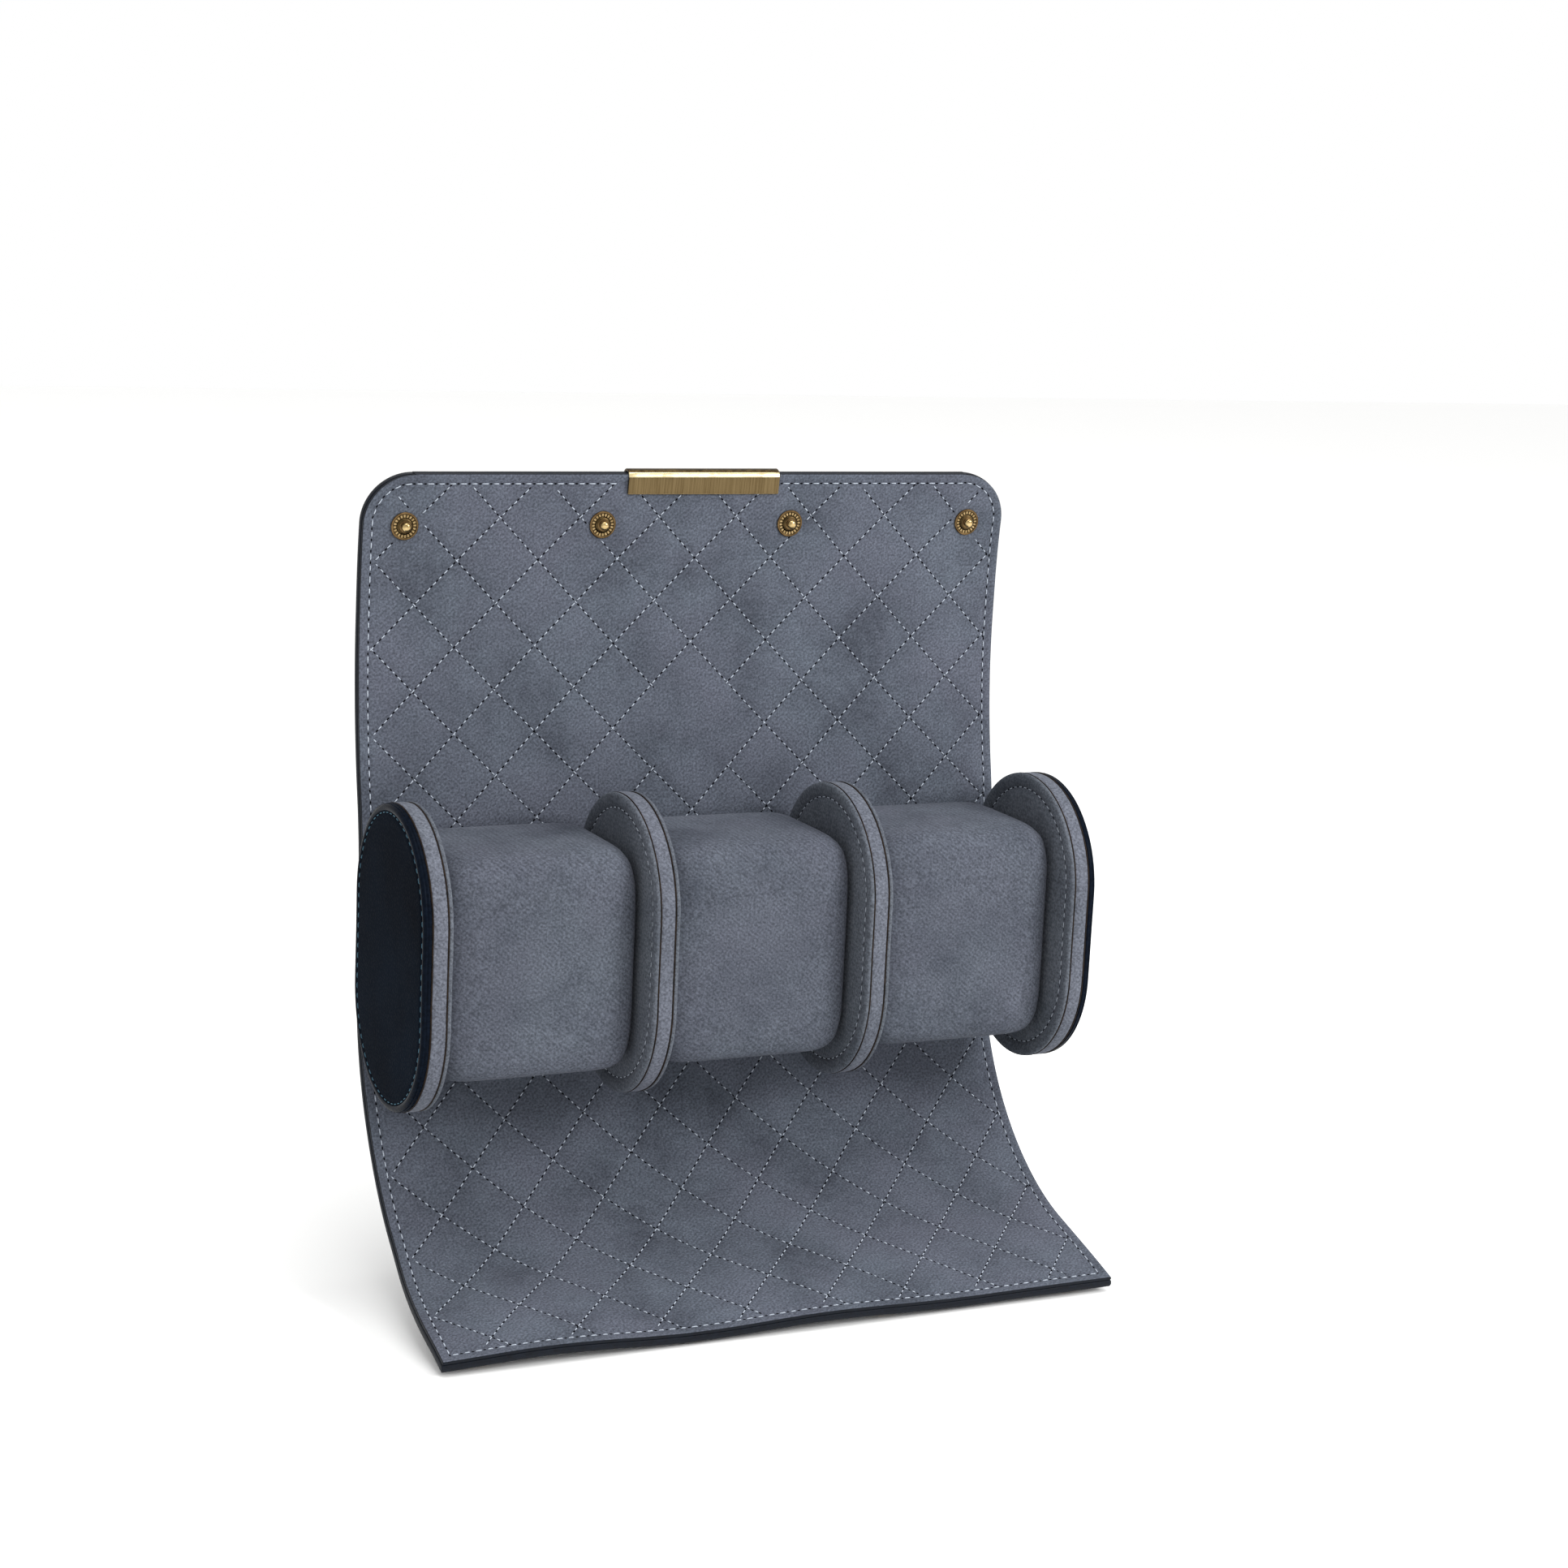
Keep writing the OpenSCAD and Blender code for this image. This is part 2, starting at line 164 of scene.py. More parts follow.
def suedeFinish(name, shades, sheen, onSheet=False, rib=0.07, patch=45, paintedValleyShade=None):
    # goat suede: a buffed nap, so a matt, mottled colour, soft sheen and no gloss; shades are dark, base, warm, light
    material, tree, place = newMaterial(name, onSheet)
    broad = addNode(tree, "TexNoise", {"Scale": patch, "Detail": 5, "Roughness": 0.66}, {"Vector": place})
    tinge = addNode(tree, "TexNoise", {"Scale": 24, "Detail": 3, "Roughness": 0.6}, {"Vector": place})
    fleck = addNode(tree, "TexNoise", {"Scale": 380, "Detail": 4, "Roughness": 0.7}, {"Vector": place})
    nap = addNode(tree, "TexNoise", {"Scale": 1600, "Detail": 2, "Roughness": 0.6}, {"Vector": place})
    tone = addNode(tree, "ValToRGB", {"stops": ((0.35, shades[0]), (0.62, shades[1]))}, {"Fac": broad})
    warmth = addNode(tree, "MapRange", {"From Min": 0.42, "From Max": 0.62, "To Min": 0, "To Max": 0.75},
                     {"Value": tinge})
    warmed = addNode(tree, "Mix", {"data_type": "RGBA", 7: linearColor(shades[2])}, {0: warmth, 6: tone})
    flecks = addNode(tree, "MapRange", {"From Min": 0.48, "From Max": 0.70, "To Min": 0, "To Max": 0.21},
                     {"Value": fleck})
    mixed = addNode(tree, "Mix", {"data_type": "RGBA", 7: linearColor(shades[3])}, {0: flecks, 6: warmed.outputs[2]})
    # the nap's salt and pepper, drawn at 0.8 mm where the real one is 0.3, or it would not show
    fine = addNode(tree, "MapRange", {"From Min": 0.34, "From Max": 0.66, "To Min": 0.66, "To Max": 1.34},
                   {"Value": nap})
    # slanting ribs pressed through by the backing cloth, drawn at 1.0 mm where the real ones are 0.7
    slant = math.radians(50)
    slanted = addNode(tree, "Mapping", {"Rotation": (0, 0, slant) if onSheet else (0, slant, 0)}, {"Vector": place})
    ribs = addNode(tree, "TexWave", {"Scale": 314, "Distortion": 3.0, "Detail": 2, "Detail Scale": 2.0,
                                     "bands_direction": "X"}, {"Vector": slanted})
    ribShade = addNode(tree, "MapRange", {"To Min": 1 - rib, "To Max": 1 + rib}, {"Value": ribs.outputs["Fac"]})
    shade = addNode(tree, "Math", {"operation": "MULTIPLY"}, {0: fine, 1: ribShade})
    if paintedValleyShade:  # painted shade: the sewn lines are drawn a little darker, and a slight painted highlight makes their crowns lighter
        puff = addNode(tree, "Attribute", {"attribute_name": "puff"})
        depth = addNode(tree, "MapRange", {"From Min": 0, "From Max": 1, "To Min": paintedValleyShade, "To Max": 1.03},
                        {"Value": puff.outputs["Fac"]})
        shade = addNode(tree, "Math", {"operation": "MULTIPLY"}, {0: shade, 1: depth})
    color = addNode(tree, "VectorMath", {"operation": "SCALE"}, {0: mixed.outputs[2], "Scale": shade})
    bump = addNode(tree, "Bump", {"Strength": 0.5, "Distance": 0.12 * mm}, {"Height": nap})
    soft = addNode(tree, "Bump", {"Strength": 0.35, "Distance": 0.35 * mm}, {"Height": fleck, "Normal": bump})
    addSurface(tree, {"Roughness": 0.95, "Specular IOR Level": 0.12, "Sheen Weight": sheen, "Sheen Roughness": 0.45,
                      "Sheen Tint": linearColor("#b4b8c4")},
               {"Base Color": color, "Normal": soft})
    return material


def leatherFinish(name, dark, light, grain, depth, rough, specular, onSheet=False):
    # full-grain calf: closed, pebbled and slightly waxed, so small soft highlights
    material, tree, place = newMaterial(name, onSheet)
    warp = addNode(tree, "TexNoise", {"Scale": 260, "Detail": 3}, {"Vector": place})
    shifted = addNode(tree, "VectorMath", {"operation": "MULTIPLY_ADD", 1: (0.0012, 0.0012, 0.0012)},
                      {0: warp.outputs["Color"], 2: place})
    pebble = addNode(tree, "TexVoronoi", {"Scale": 1 / (grain * mm), "feature": "DISTANCE_TO_EDGE"},
                     {"Vector": shifted})
    crease = addNode(tree, "MapRange", {"From Min": 0.0, "From Max": 0.32}, {"Value": pebble})
    pore = addNode(tree, "TexNoise", {"Scale": 2600, "Detail": 3, "Roughness": 0.7}, {"Vector": place})
    broad = addNode(tree, "TexNoise", {"Scale": 35, "Detail": 4}, {"Vector": place})
    tone = addNode(tree, "ValToRGB", {"stops": ((0.32, dark), (0.72, light))}, {"Fac": broad})
    gloss = addNode(tree, "MapRange", {"To Min": rough + 0.12, "To Max": rough}, {"Value": crease})
    height = addNode(tree, "Bump", {"Strength": 0.6, "Distance": depth * mm}, {"Height": crease})
    pores = addNode(tree, "Bump", {"Strength": 0.3, "Distance": 0.05 * mm}, {"Height": pore, "Normal": height})
    addSurface(tree, {"Specular IOR Level": specular}, {"Base Color": tone, "Roughness": gloss, "Normal": pores})
    return material


def plainFinish(name, dark, light, scale, rough, bumpMm=0.05, metallic=0.0, stretch=None, specular=0.5):
    # one finish with a fine mottle, for thread, glue, board, foam and metal
    material, tree, place = newMaterial(name)
    if stretch:
        place = addNode(tree, "Mapping", {"Scale": stretch}, {"Vector": place})
    mottle = addNode(tree, "TexNoise", {"Scale": scale, "Detail": 5, "Roughness": 0.65}, {"Vector": place})
    tone = addNode(tree, "ValToRGB", {"stops": ((0.34, dark), (0.68, light))}, {"Fac": mottle})
    gloss = addNode(tree, "MapRange", {"From Min": 0.3, "From Max": 0.7, "To Min": rough - 0.08, "To Max": rough + 0.1},
                    {"Value": mottle})
    bump = addNode(tree, "Bump", {"Strength": 0.4, "Distance": bumpMm * mm}, {"Height": mottle})
    addSurface(tree, {"Metallic": metallic, "Specular IOR Level": specular},
               {"Base Color": tone, "Roughness": gloss, "Normal": bump})
    return material


quiltedSuede = suedeFinish("quiltedSuede", ("#3f434c", "#525862", "#525560", "#656a75"), 0.10, True, paintedValleyShade=0.90)
# lit and shaded copies of one suede: the faces are drawn a little darker as painted shade, the band a little lighter as
# painted light
dividerSuede = suedeFinish("dividerSuede", ("#454a52", "#545960", "#53575f", "#646972"), 0.08, patch=60)
bandSuede = suedeFinish("bandSuede", ("#4f535c", "#5c6069", "#5b5e68", "#6e727c"), 0.12, patch=80)
cushionSuede = suedeFinish("cushionSuede", ("#3a3e47", "#50555e", "#4f525c", "#5f646e"), 0.10, rib=0.10, patch=34)
grainedLeather = leatherFinish("grainedLeather", "#0b121b", "#0e1722", 1.5, 0.11, 0.50, 0.22, onSheet=True)
dividerLeather = leatherFinish("dividerLeather", "#070b12", "#0c141e", 1.1, 0.09, 0.62, 0.008)
waxedRim = plainFinish("waxedLeatherRim", "#080c13", "#0e1520", 900, 0.26, 0.02, specular=0.014)  # burnished
edgePaint = plainFinish("edgePaint", "#0b0e14", "#141922", 900, 0.50, specular=0.12)  # brushed-on acrylic edge paint
paleThread = plainFinish("palePolyesterThread", "#939ba7", "#bdc4cf", 2500, 0.6, specular=0.2)
tealThread = plainFinish("tealPolyesterThread", "#2f5263", "#4a7386", 2500, 0.5, specular=0.2)
awlHole = plainFinish("awlHole", "#07080a", "#101216", 1500, 0.95, specular=0.0)  # the needle's hole, in shadow
glueLine = plainFinish("burnishedGlueLine", "#0b0908", "#2a2018", 300, 0.6, specular=0.1)  # brown contact cement
# solid brass, antiqued: olive brown where it is brushed or handled little, bright where it is worn; the cream strip on
# the edge bar's fold is polished and drawn as a painted highlight, and the darkest brass is patina in the snaps'
# hollows and painted shade on the edge bar's fold
brushedBrass = plainFinish("brushedBrass", "#4f412a", "#716145", 3200, 0.34, 0.02, 1.0, (1, 0.02, 0.02))
# painted highlight: the cream strip along the front of the edge bar's fold, brighter than the brass itself
polishedAndHighlightBrass = plainFinish("polishedAndHighlightBrass", "#ead7a6", "#f2e2b6", 300, 0.22, 0.001, 1.0)
# patina in the snaps' hollows, and painted shade on the top and back of the edge bar's fold
patinaAndShadeBrass = plainFinish("patinaAndShadeBrass", "#2c2114", "#54452b", 700, 0.36, 0.02, 1.0)
agedBrass = plainFinish("agedBrass", "#4c3a24", "#735d3e", 420, 0.30, 0.03, 1.0)
wornBrass = plainFinish("wornBrass", "#8f764c", "#cdb583", 500, 0.22, 0.02, 1.0)  # where the snap's halves rub
plainBrass = plainFinish("plainBrass", "#7c6846", "#a8916a", 500, 0.3, 0.01, 1.0)
greyboard = plainFinish("greyboard", "#9c8b6c", "#bda988", 700, 0.9)
rubberFoam = plainFinish("rubberFoam", "#cfc8b4", "#e2dccb", 900, 0.95)
woolFelt = plainFinish("woolFelt", "#5e5b58", "#77736f", 1100, 0.95)
floorPaint = plainFinish("floorPaint", studio["floor"], studio["floor"], 4, 0.7, 0.0)
finishOfSlot = {"quilted_suede": quiltedSuede, "divider_suede": dividerSuede, "cushion_suede": cushionSuede,
                "grained_leather": grainedLeather, "divider_leather": dividerLeather, "greyboard": greyboard,
                "foam": rubberFoam, "felt_interlining": woolFelt, "brushed_brass": brushedBrass,
                "aged_brass": agedBrass, "plain_brass": plainBrass}
for part in nodes.values():
    for slot in part.material_slots:
        if slot.material and slot.material.name.split(".")[0] in finishOfSlot:
            slot.material = finishOfSlot[slot.material.name.split(".")[0]]
print("materials made")

# --- helpers for meshes ---


def meshObject(name, points, faces, materials, kinds=None):
    mesh = bpy.data.meshes.new(name)
    mesh.from_pydata(np.asarray(points, float).tolist(), [], faces)
    for material in materials:
        mesh.materials.append(material)
    if kinds is not None:
        mesh.polygons.foreach_set("material_index", np.asarray(kinds, np.int32))
    mesh.polygons.foreach_set("use_smooth", np.ones(len(mesh.polygons), bool))
    mesh.update()
    return newObject(name, mesh)


def only(made):
    bpy.ops.object.select_all(action="DESELECT")
    made.select_set(True)
    bpy.context.view_layer.objects.active = made


def shapeWith(made, kind, settings):  # adds one modifier and applies it
    modifier = made.modifiers.new(kind.lower(), kind)
    for key, value in settings.items():
        setattr(modifier, key, value)
    only(made)
    bpy.ops.object.modifier_apply(modifier=modifier.name)


bpy.ops.mesh.primitive_grid_add(x_subdivisions=12, y_subdivisions=12, size=studio["floorSize"],
                                location=(0, 0, -0.4 * mm))
paleFloor = bpy.context.object
paleFloor.name = "paleFloor"
paleFloor.data.materials.append(floorPaint)
bpy.ops.object.transform_apply(location=True)

# --- the flap: one line from its top edge to its bottom edge, bent in arcs at the creases ---

flap = {"width": 189.0, "upperLast": 20.6, "lowerLast": 42.0, "corner": 13.7, "middle": (35.46715, 93.344),
        "liningBack": 0.91, "leatherFront": 0.97, "thick": 3.0, "overhang": 0.25, "liningIn": 0.16,
        "groove": 0.22, "grooveReach": 0.8, "uneven": 0.08, "blendReach": 0.68, "samples": 40,
        "liningStep": 0.9, "leatherStep": 1.3}


def samplePath(side, lastLength):
    # a dense table of (s, y, z, heading) along the flap's line in mm, from the joints, with an arc at each crease
    corners = [Vector(flap["middle"])]
    for i in range(1, 5):
        at = foldAt[side + "_fold_%d" % i]
        corners.append(Vector((at[1] / mm, at[2] / mm)))
    runs = [corners[i + 1] - corners[i] for i in range(4)]
    headings = [math.atan2(r.y, r.x) for r in runs]
    headings.append(2 * headings[3] - headings[2])
    headings[0] = math.copysign(math.pi / 2, headings[0])  # the back panel is upright
    lengths = [r.length for r in runs] + [lastLength]
    halves = [lengths[0]] + [n / 2 for n in lengths[1:]]
    reach = [min(halves[i], halves[i + 1]) for i in range(4)]
    rows, start, fine = [], 0.0, flap["samples"]
    for i in range(5):
        first = 0.0 if i == 0 else reach[i - 1]
        last = lengths[i] - (reach[i] if i < 4 else 0.0)
        ray = Vector((math.cos(headings[i]), math.sin(headings[i])))
        for k in range(fine + 1):
            t = first + (last - first) * k / fine
            p = corners[i] + ray * t
            rows.append((start + t, p.x, p.y, headings[i]))
        if i < 4:
            turn = headings[i + 1] - headings[i]
            radius = math.copysign(reach[i] / math.tan(abs(turn) / 2), turn)
            center = corners[i] + ray * last + Vector((-ray.y, ray.x)) * radius
            for k in range(1, fine):
                angle = headings[i] + turn * k / fine
                p = center - Vector((-math.sin(angle), math.cos(angle))) * radius
                rows.append((start + last + 2 * reach[i] * k / fine, p.x, p.y, angle))
        start += lengths[i]
    table = np.array(rows)
    keep = np.concatenate([[True], np.diff(table[:, 0]) > 1e-6])
    return table[keep], corners, lengths, headings, reach


flapLines = {side: samplePath(side, flap[side + "Last"]) for side in ("upper", "lower")}
upperTable, _, upperLengths, upperHeadings, _ = flapLines["upper"]
lowerTable, _, lowerLengths, _, _ = flapLines["lower"]
topS, bottomS = sum(upperLengths), -sum(lowerLengths)
# how the lower flap hangs, in mm: the most of each, then where it starts and how far it takes
hang = {"sag": 1.9, "wave": 1.5, "short": (1.6, 0.8), "flare": 2.4,
        "left": (30, 125), "low": (50, 50), "free": (92, 40), "flared": (84, 40), "shortened": (70, 66)}


def soften(place, start, reach):  # 0 up to the start, 1 after the reach, smooth between
    t = np.clip((place - start) / reach, 0, 1)
    return t * t * (3 - 2 * t)


def onFlap(x, s, n):
    # points in metres: x along the roll, s up the flap from the back's middle, n out of the leather side
    x, s, n = np.broadcast_arrays(np.asarray(x, float), np.asarray(s, float), np.asarray(n, float))
    # the lower flap hangs lower at its left and its free edge lies in shallow waves
    left = soften(-x, -hang["left"][0], hang["left"][1])
    low, end = soften(-s, *hang["low"]), soften(-s, *hang["free"])
    lift = hang["wave"] * (0.5 + 0.3 * np.cos((x + 70) / 14.3) + 0.2 * np.cos((x - 70) / 10.5))
    n = n + hang["sag"] * left * low * (1 - end) - lift * end
    x = x - hang["flare"] * left * soften(-s, *hang["flared"])
    atLeft, atRight = hang["short"]
    s = s + (atRight + (atLeft - atRight) * left) * soften(-s, *hang["shortened"])
    up = s >= 0
    y, z = np.empty(s.shape), np.empty(s.shape)
    for chosen, table, side in ((up, upperTable, -1), (~up, lowerTable, 1)):
        a = np.abs(s[chosen])
        over = np.maximum(a - table[-1, 0], 0)
        yy, zz, hh = (np.interp(a, table[:, 0], table[:, k]) for k in (1, 2, 3))
        out = hh + side * math.pi / 2
        y[chosen] = yy + over * np.cos(hh) + n[chosen] * np.cos(out)
        z[chosen] = zz + over * np.sin(hh) + n[chosen] * np.sin(out)
    return np.stack([x * mm, y * mm, z * mm], -1)


quilt = {"pitchX": 11.35, "pitchS": 11.55, "anchor": 74.6, "bareRow": -2, "drawnFrom": -34.0, "drawn": 0.92,
         "lines": 30, "span": 40,
         "crown": 0.26, "crownReach": 3.6, "uneven": 0.35, "channel": 0.20, "channelReach": 0.55,
         "border": 0.24, "borderReach": 0.6, "welt": 0.12, "weltReach": 1.6, "edgeDrop": 0.25, "edgeReach": 0.5,
         "stitch": 2.16, "topLine": 2.8, "sideLine": 2.85, "borderStitch": 3.0, "cornerIn": 3.2,
         "clear": 0.9, "nearSeam": 0.02}
snaps = {"x": (-82.95, -27.65, 27.65, 82.95), "s": topS - 14.0, "pressed": 4.6, "rise": 1.5, "dent": -0.08}


def drawnOut(s, back=False):
    # the diamonds are pulled a little longer where the lower flap hangs; back turns the pattern's place into s
    start, share = quilt["drawnFrom"], 1 / quilt["drawn"] if back else quilt["drawn"]
    return np.where(s < start, start + (s - start) * share, s)


def quiltLines(x, s):
    # how far a point is from the nearest sewn line, in mm; the big diamond in the middle has none inside it
    a, b = x / quilt["pitchX"], (drawnOut(s) - quilt["anchor"]) / quilt["pitchS"]
    u, v = (a + b) / 2, (a - b) / 2
    low = quilt["bareRow"]
    bare = (u > low) & (u < 0) & (v > 0) & (v < -low)
    du, dv = np.abs(u - np.round(u)), np.abs(v - np.round(v))
    du = np.where(bare, np.minimum(u - low, -u), du)
    dv = np.where(bare, np.minimum(v, -low - v), dv)
    return np.minimum(du, dv) * 2 / math.hypot(1 / quilt["pitchX"], 1 / quilt["pitchS"])


def halfWidth(s, inset=0.0):
    # half the flap's width at s, with the rounded corners at the top
    r = flap["corner"] - inset
    centre = topS - flap["corner"]
    along = np.clip(np.asarray(s, float) - centre, 0, r)
    return flap["width"] / 2 - inset - r + np.sqrt(np.maximum(r * r - along * along, 0))


def edgeDistance(x, s):
    # how far inside the flap's outline a point is, in mm
    centre = topS - flap["corner"]
    corner = flap["width"] / 2 - flap["corner"]
    ax = np.abs(x)
    inCorner = (s > centre) & (ax > corner)
    rounded = flap["corner"] - np.hypot(ax - corner, s - centre)
    square = np.minimum(np.minimum(flap["width"] / 2 - ax, topS - s), s - bottomS)
    return np.where(inCorner, rounded, square)


def borderDistance(x, s):
    # how far inside (positive) or outside the border's stitch line
    edge = edgeDistance(x, s)
    top = np.clip((s - (topS - 10)) / 6, 0, 1)
    return edge - (quilt["sideLine"] + (quilt["topLine"] - quilt["sideLine"]) * top)


def waves(x, s, seed, size):
    # slow unevenness of hand-laid cloth, within about -1 to 1
    total = 0
    for k in range(5):
        angle = seed * 1.7 + k * 2.399
        f = 2 * math.pi / (size * (0.6 + 0.23 * k))
        total = total + np.sin(f * (x * math.cos(angle) + s * math.sin(angle)) + seed * 3.1 + k * 1.3)
    return total / 5


def bell(distance, reach):
    return np.exp(-(distance / reach) ** 2)


def puffHeight(x, s):
    # the quilted face's height over the flat lining, in mm
    d = quiltLines(x, s)
    inside = borderDistance(x, s)
    field = np.minimum(d, np.maximum(inside, 0))
    uneven = 1 + quilt["uneven"] * waves(x, s, 1.0, 60)
    crown = quilt["crown"] * (1 - bell(field, quilt["crownReach"])) * uneven
    channel = quilt["channel"] * bell(d, quilt["channelReach"]) * np.clip(inside / 1.2 + 0.5, 0, 1)
    border = quilt["border"] * bell(inside, quilt["borderReach"])
    welt = quilt["welt"] * (1 - bell(np.minimum(inside, 0), quilt["weltReach"]))  # the roll of cloth past the border
    height = crown - np.maximum(channel, border) + welt
    height = height - quilt["edgeDrop"] * (1 - np.clip(edgeDistance(x, s) / quilt["edgeReach"], 0, 1)) ** 2
    for sx in snaps["x"]:
        near = np.hypot(x - sx, s - snaps["s"])
        pressed = np.clip((snaps["pressed"] + snaps["rise"] - near) / snaps["rise"], 0, 1)
        height = height + (snaps["dent"] - height) * pressed
    return height


def flapRows(sA, sB, step):
    # places of the rows between two ends; close together where the corner is round
    count = max(2, int(round(abs(sB - sA) / step)))
    rows = [sA + (sB - sA) * k / count for k in range(count + 1)]
    centre = topS - flap["corner"]
    if sB > centre:
        rows = [r for r in rows if r < centre - step / 2]
        r = flap["corner"] - flap["overhang"]
        rows += [centre + r * math.sin(math.pi / 2 * k / 30) for k in range(31)]
    return np.array(rows)


def shell(name, rows, columns, faceOf, backOf, inset, freeEnd, materials, rim):
    # a closed sheet: its front, its back, rounded rims at the sides and one at a free end
    free = {"top": 1, "bottom": -1}.get(freeEnd, 0)
    order = rows if free >= 0 else rows[::-1]
    wide = halfWidth(np.minimum(order, topS - inset), inset)
    m, r = len(columns), len(rim)
    lines = [(s, w, 0.0) for s, w in zip(order, wide)]
    if free:  # the free end's rim closes in on the sheet's middle
        lines += [(order[-1] + free * out, wide[-1], inward) for out, inward in rim if inward <= 0.5]
    X, S, N = [], [], []
    for s, w, inward in lines:
        cx = columns * w
        base = min(max(s, bottomS + inset), topS - inset)
        f, b = faceOf(cx, base), backOf(cx, base)
        nf, nb = f + (b - f) * inward, b + (f - b) * inward
        rx = [w + out for out, _ in rim]
        rn, ln = ([nf[end] + (nb[end] - nf[end]) * d for _, d in rim] for end in (-1, 0))
        X.append(np.concatenate([cx, rx, cx[::-1], [-v for v in rx[::-1]]]))
        N.append(np.concatenate([nf, rn, nb[::-1], ln[::-1]]))
        S.append(np.full(len(X[-1]), s))
    X, S, N = (np.array(v) for v in (X, S, N))
    count, loop = X.shape
    points = onFlap(X, S, N).reshape(-1, 3)
    i = np.arange(count - 1)[:, None]
    j = np.arange(loop)[None, :]
    k = (j + 1) % loop
    quads = np.stack([i * loop + j, i * loop + k, (i + 1) * loop + k, (i + 1) * loop + j], -1).reshape(-1, 4)
    # kinds of face: 0 in front, 1 on the rims and the ends, 2 at the back
    kindLoop = np.concatenate([np.zeros(m - 1), np.ones(r + 1), np.full(m - 1, 2), np.ones(r + 1)])
    kind = np.tile(kindLoop, count - 1).reshape(count - 1, loop)
    kind[len(order) - 1:, :] = 1
    caps = []
    for at, way in ((0, -1), ((count - 1) * loop, 1)):
        back = at + 2 * m + r - 1  # from here the back's points run against the front's
        caps += [[at + q, at + q + 1, back - q - 1, back - q][::way] for q in range(m - 1)]
        caps += [list(range(at + m - 1, at + m + r + 1))[::way], (list(range(back, back + r + 1)) + [at])[::way]]
    faces = quads.tolist() + caps
    kinds = np.concatenate([kind.reshape(-1), np.ones(len(caps))])
    if free < 0:
        faces = [f[::-1] for f in faces]
    return meshObject(name, points, faces, materials, kinds == 1), X, S, kinds


def finishShell(made, X, S, kinds, faceKind, sign, faceOf, puff):
    # UV in metres over the cloth, sharp rims, and the face's own normals so that pieces meet unseen
    mesh = made.data
    only(made)
    bpy.ops.object.shade_smooth_by_angle(angle=math.radians(42))
    verts = np.zeros(len(mesh.loops), np.int32)
    mesh.loops.foreach_get("vertex_index", verts)
    flat = np.stack([X.reshape(-1) * mm, S.reshape(-1) * mm], -1)
    layer = mesh.uv_layers.new(name="cloth")
    layer.data.foreach_set("uv", flat[verts].astype(np.float32).reshape(-1))
    if puff is not None:
        attribute = mesh.attributes.new("puff", "FLOAT", "POINT")
        attribute.data.foreach_set("value", puff.reshape(-1).astype(np.float32))
    step = 0.3
    x, s = X.reshape(-1), S.reshape(-1)

    def surface(x, s):
        return onFlap(x, s, faceOf(x, s))
    normal = np.cross(surface(x + step, s) - surface(x - step, s), surface(x, s + step) - surface(x, s - step))
    normal /= np.linalg.norm(normal, axis=1)[:, None]
    totals = np.zeros(len(mesh.polygons), np.int32)
    mesh.polygons.foreach_get("loop_total", totals)
    isFace = np.repeat(kinds == faceKind, totals)
    custom = np.zeros((len(mesh.loops), 3))
    custom[isFace] = sign * normal[verts][isFace]
    mesh.normals_split_custom_set(custom.tolist())


liningRim = [(0.10, 0.10), (0.16, 0.35), (0.16, 0.65), (0.10, 0.90)]
leatherRim = [(0.12, 0.06), (0.22, 0.22), (0.25, 0.50), (0.22, 0.78), (0.12, 0.94)]


def liningFace(x, s):
    return -puffHeight(x, s)


def liningBack(x, s):
    return flap["liningBack"]


def leatherFront(x, s):
    return flap["leatherFront"] + 0 * x


def leatherBack(x, s):
    groove = flap["groove"] * bell(borderDistance(x, s), flap["grooveReach"])
    return flap["thick"] + flap["uneven"] * (waves(x, s, 4.0, 70) - 1) - groove


# shares of the half width; the leather's stand close where its stitch groove runs
liningColumns = np.linspace(-1, 1, int(round(flap["width"] / flap["liningStep"])) + 1)
nearEdge = 1 - np.array([0, 0.6, 1.2, 1.8, 2.2, 2.6, 3.0, 3.4, 3.8, 4.2, 4.8, 5.6]) * 2 / flap["width"]
between = 1 - 18 / flap["width"]
leatherColumns = np.concatenate([-nearEdge, np.linspace(-between, between, 58), nearEdge[::-1]])

# middles of the straights: each piece runs from one to the next over one crease
cutsUpper = [0.0] + [sum(upperLengths[:i]) + upperLengths[i] / 2 for i in range(1, 4)] + [topS]
cutsLower = [0.0] + [-(sum(lowerLengths[:i]) + lowerLengths[i] / 2) for i in range(1, 4)] + [bottomS]
flapStretches = [(side, i, *sorted((cuts[i - 1], cuts[i])))
                 for side, cuts in (("upper", cutsUpper), ("lower", cutsLower)) for i in range(1, 5)]


def creasePoints(side, i):
    # where the bend of one crease starts and ends
    _, corners, _, headings, reach = flapLines[side]
    back, on = headings[i - 1], headings[i]
    r = reach[i - 1] * flap["blendReach"]
    start = corners[i] - Vector((math.cos(back), math.sin(back))) * r
    end = corners[i] + Vector((math.cos(on), math.sin(on))) * r
    return (0, start.x * mm, start.y * mm), (0, end.x * mm, end.y * mm)


def bodiesOf(side, i):
    return ("root" if i == 1 else side + "_%d" % (i - 1)), side + "_%d" % i


def trimmed(side, i, low, high, inset):  # the last stretch stops short of the flap's end by its rim
    free = inset if i == 4 else 0
    return (low, high - free) if side == "upper" else (low + free, high)


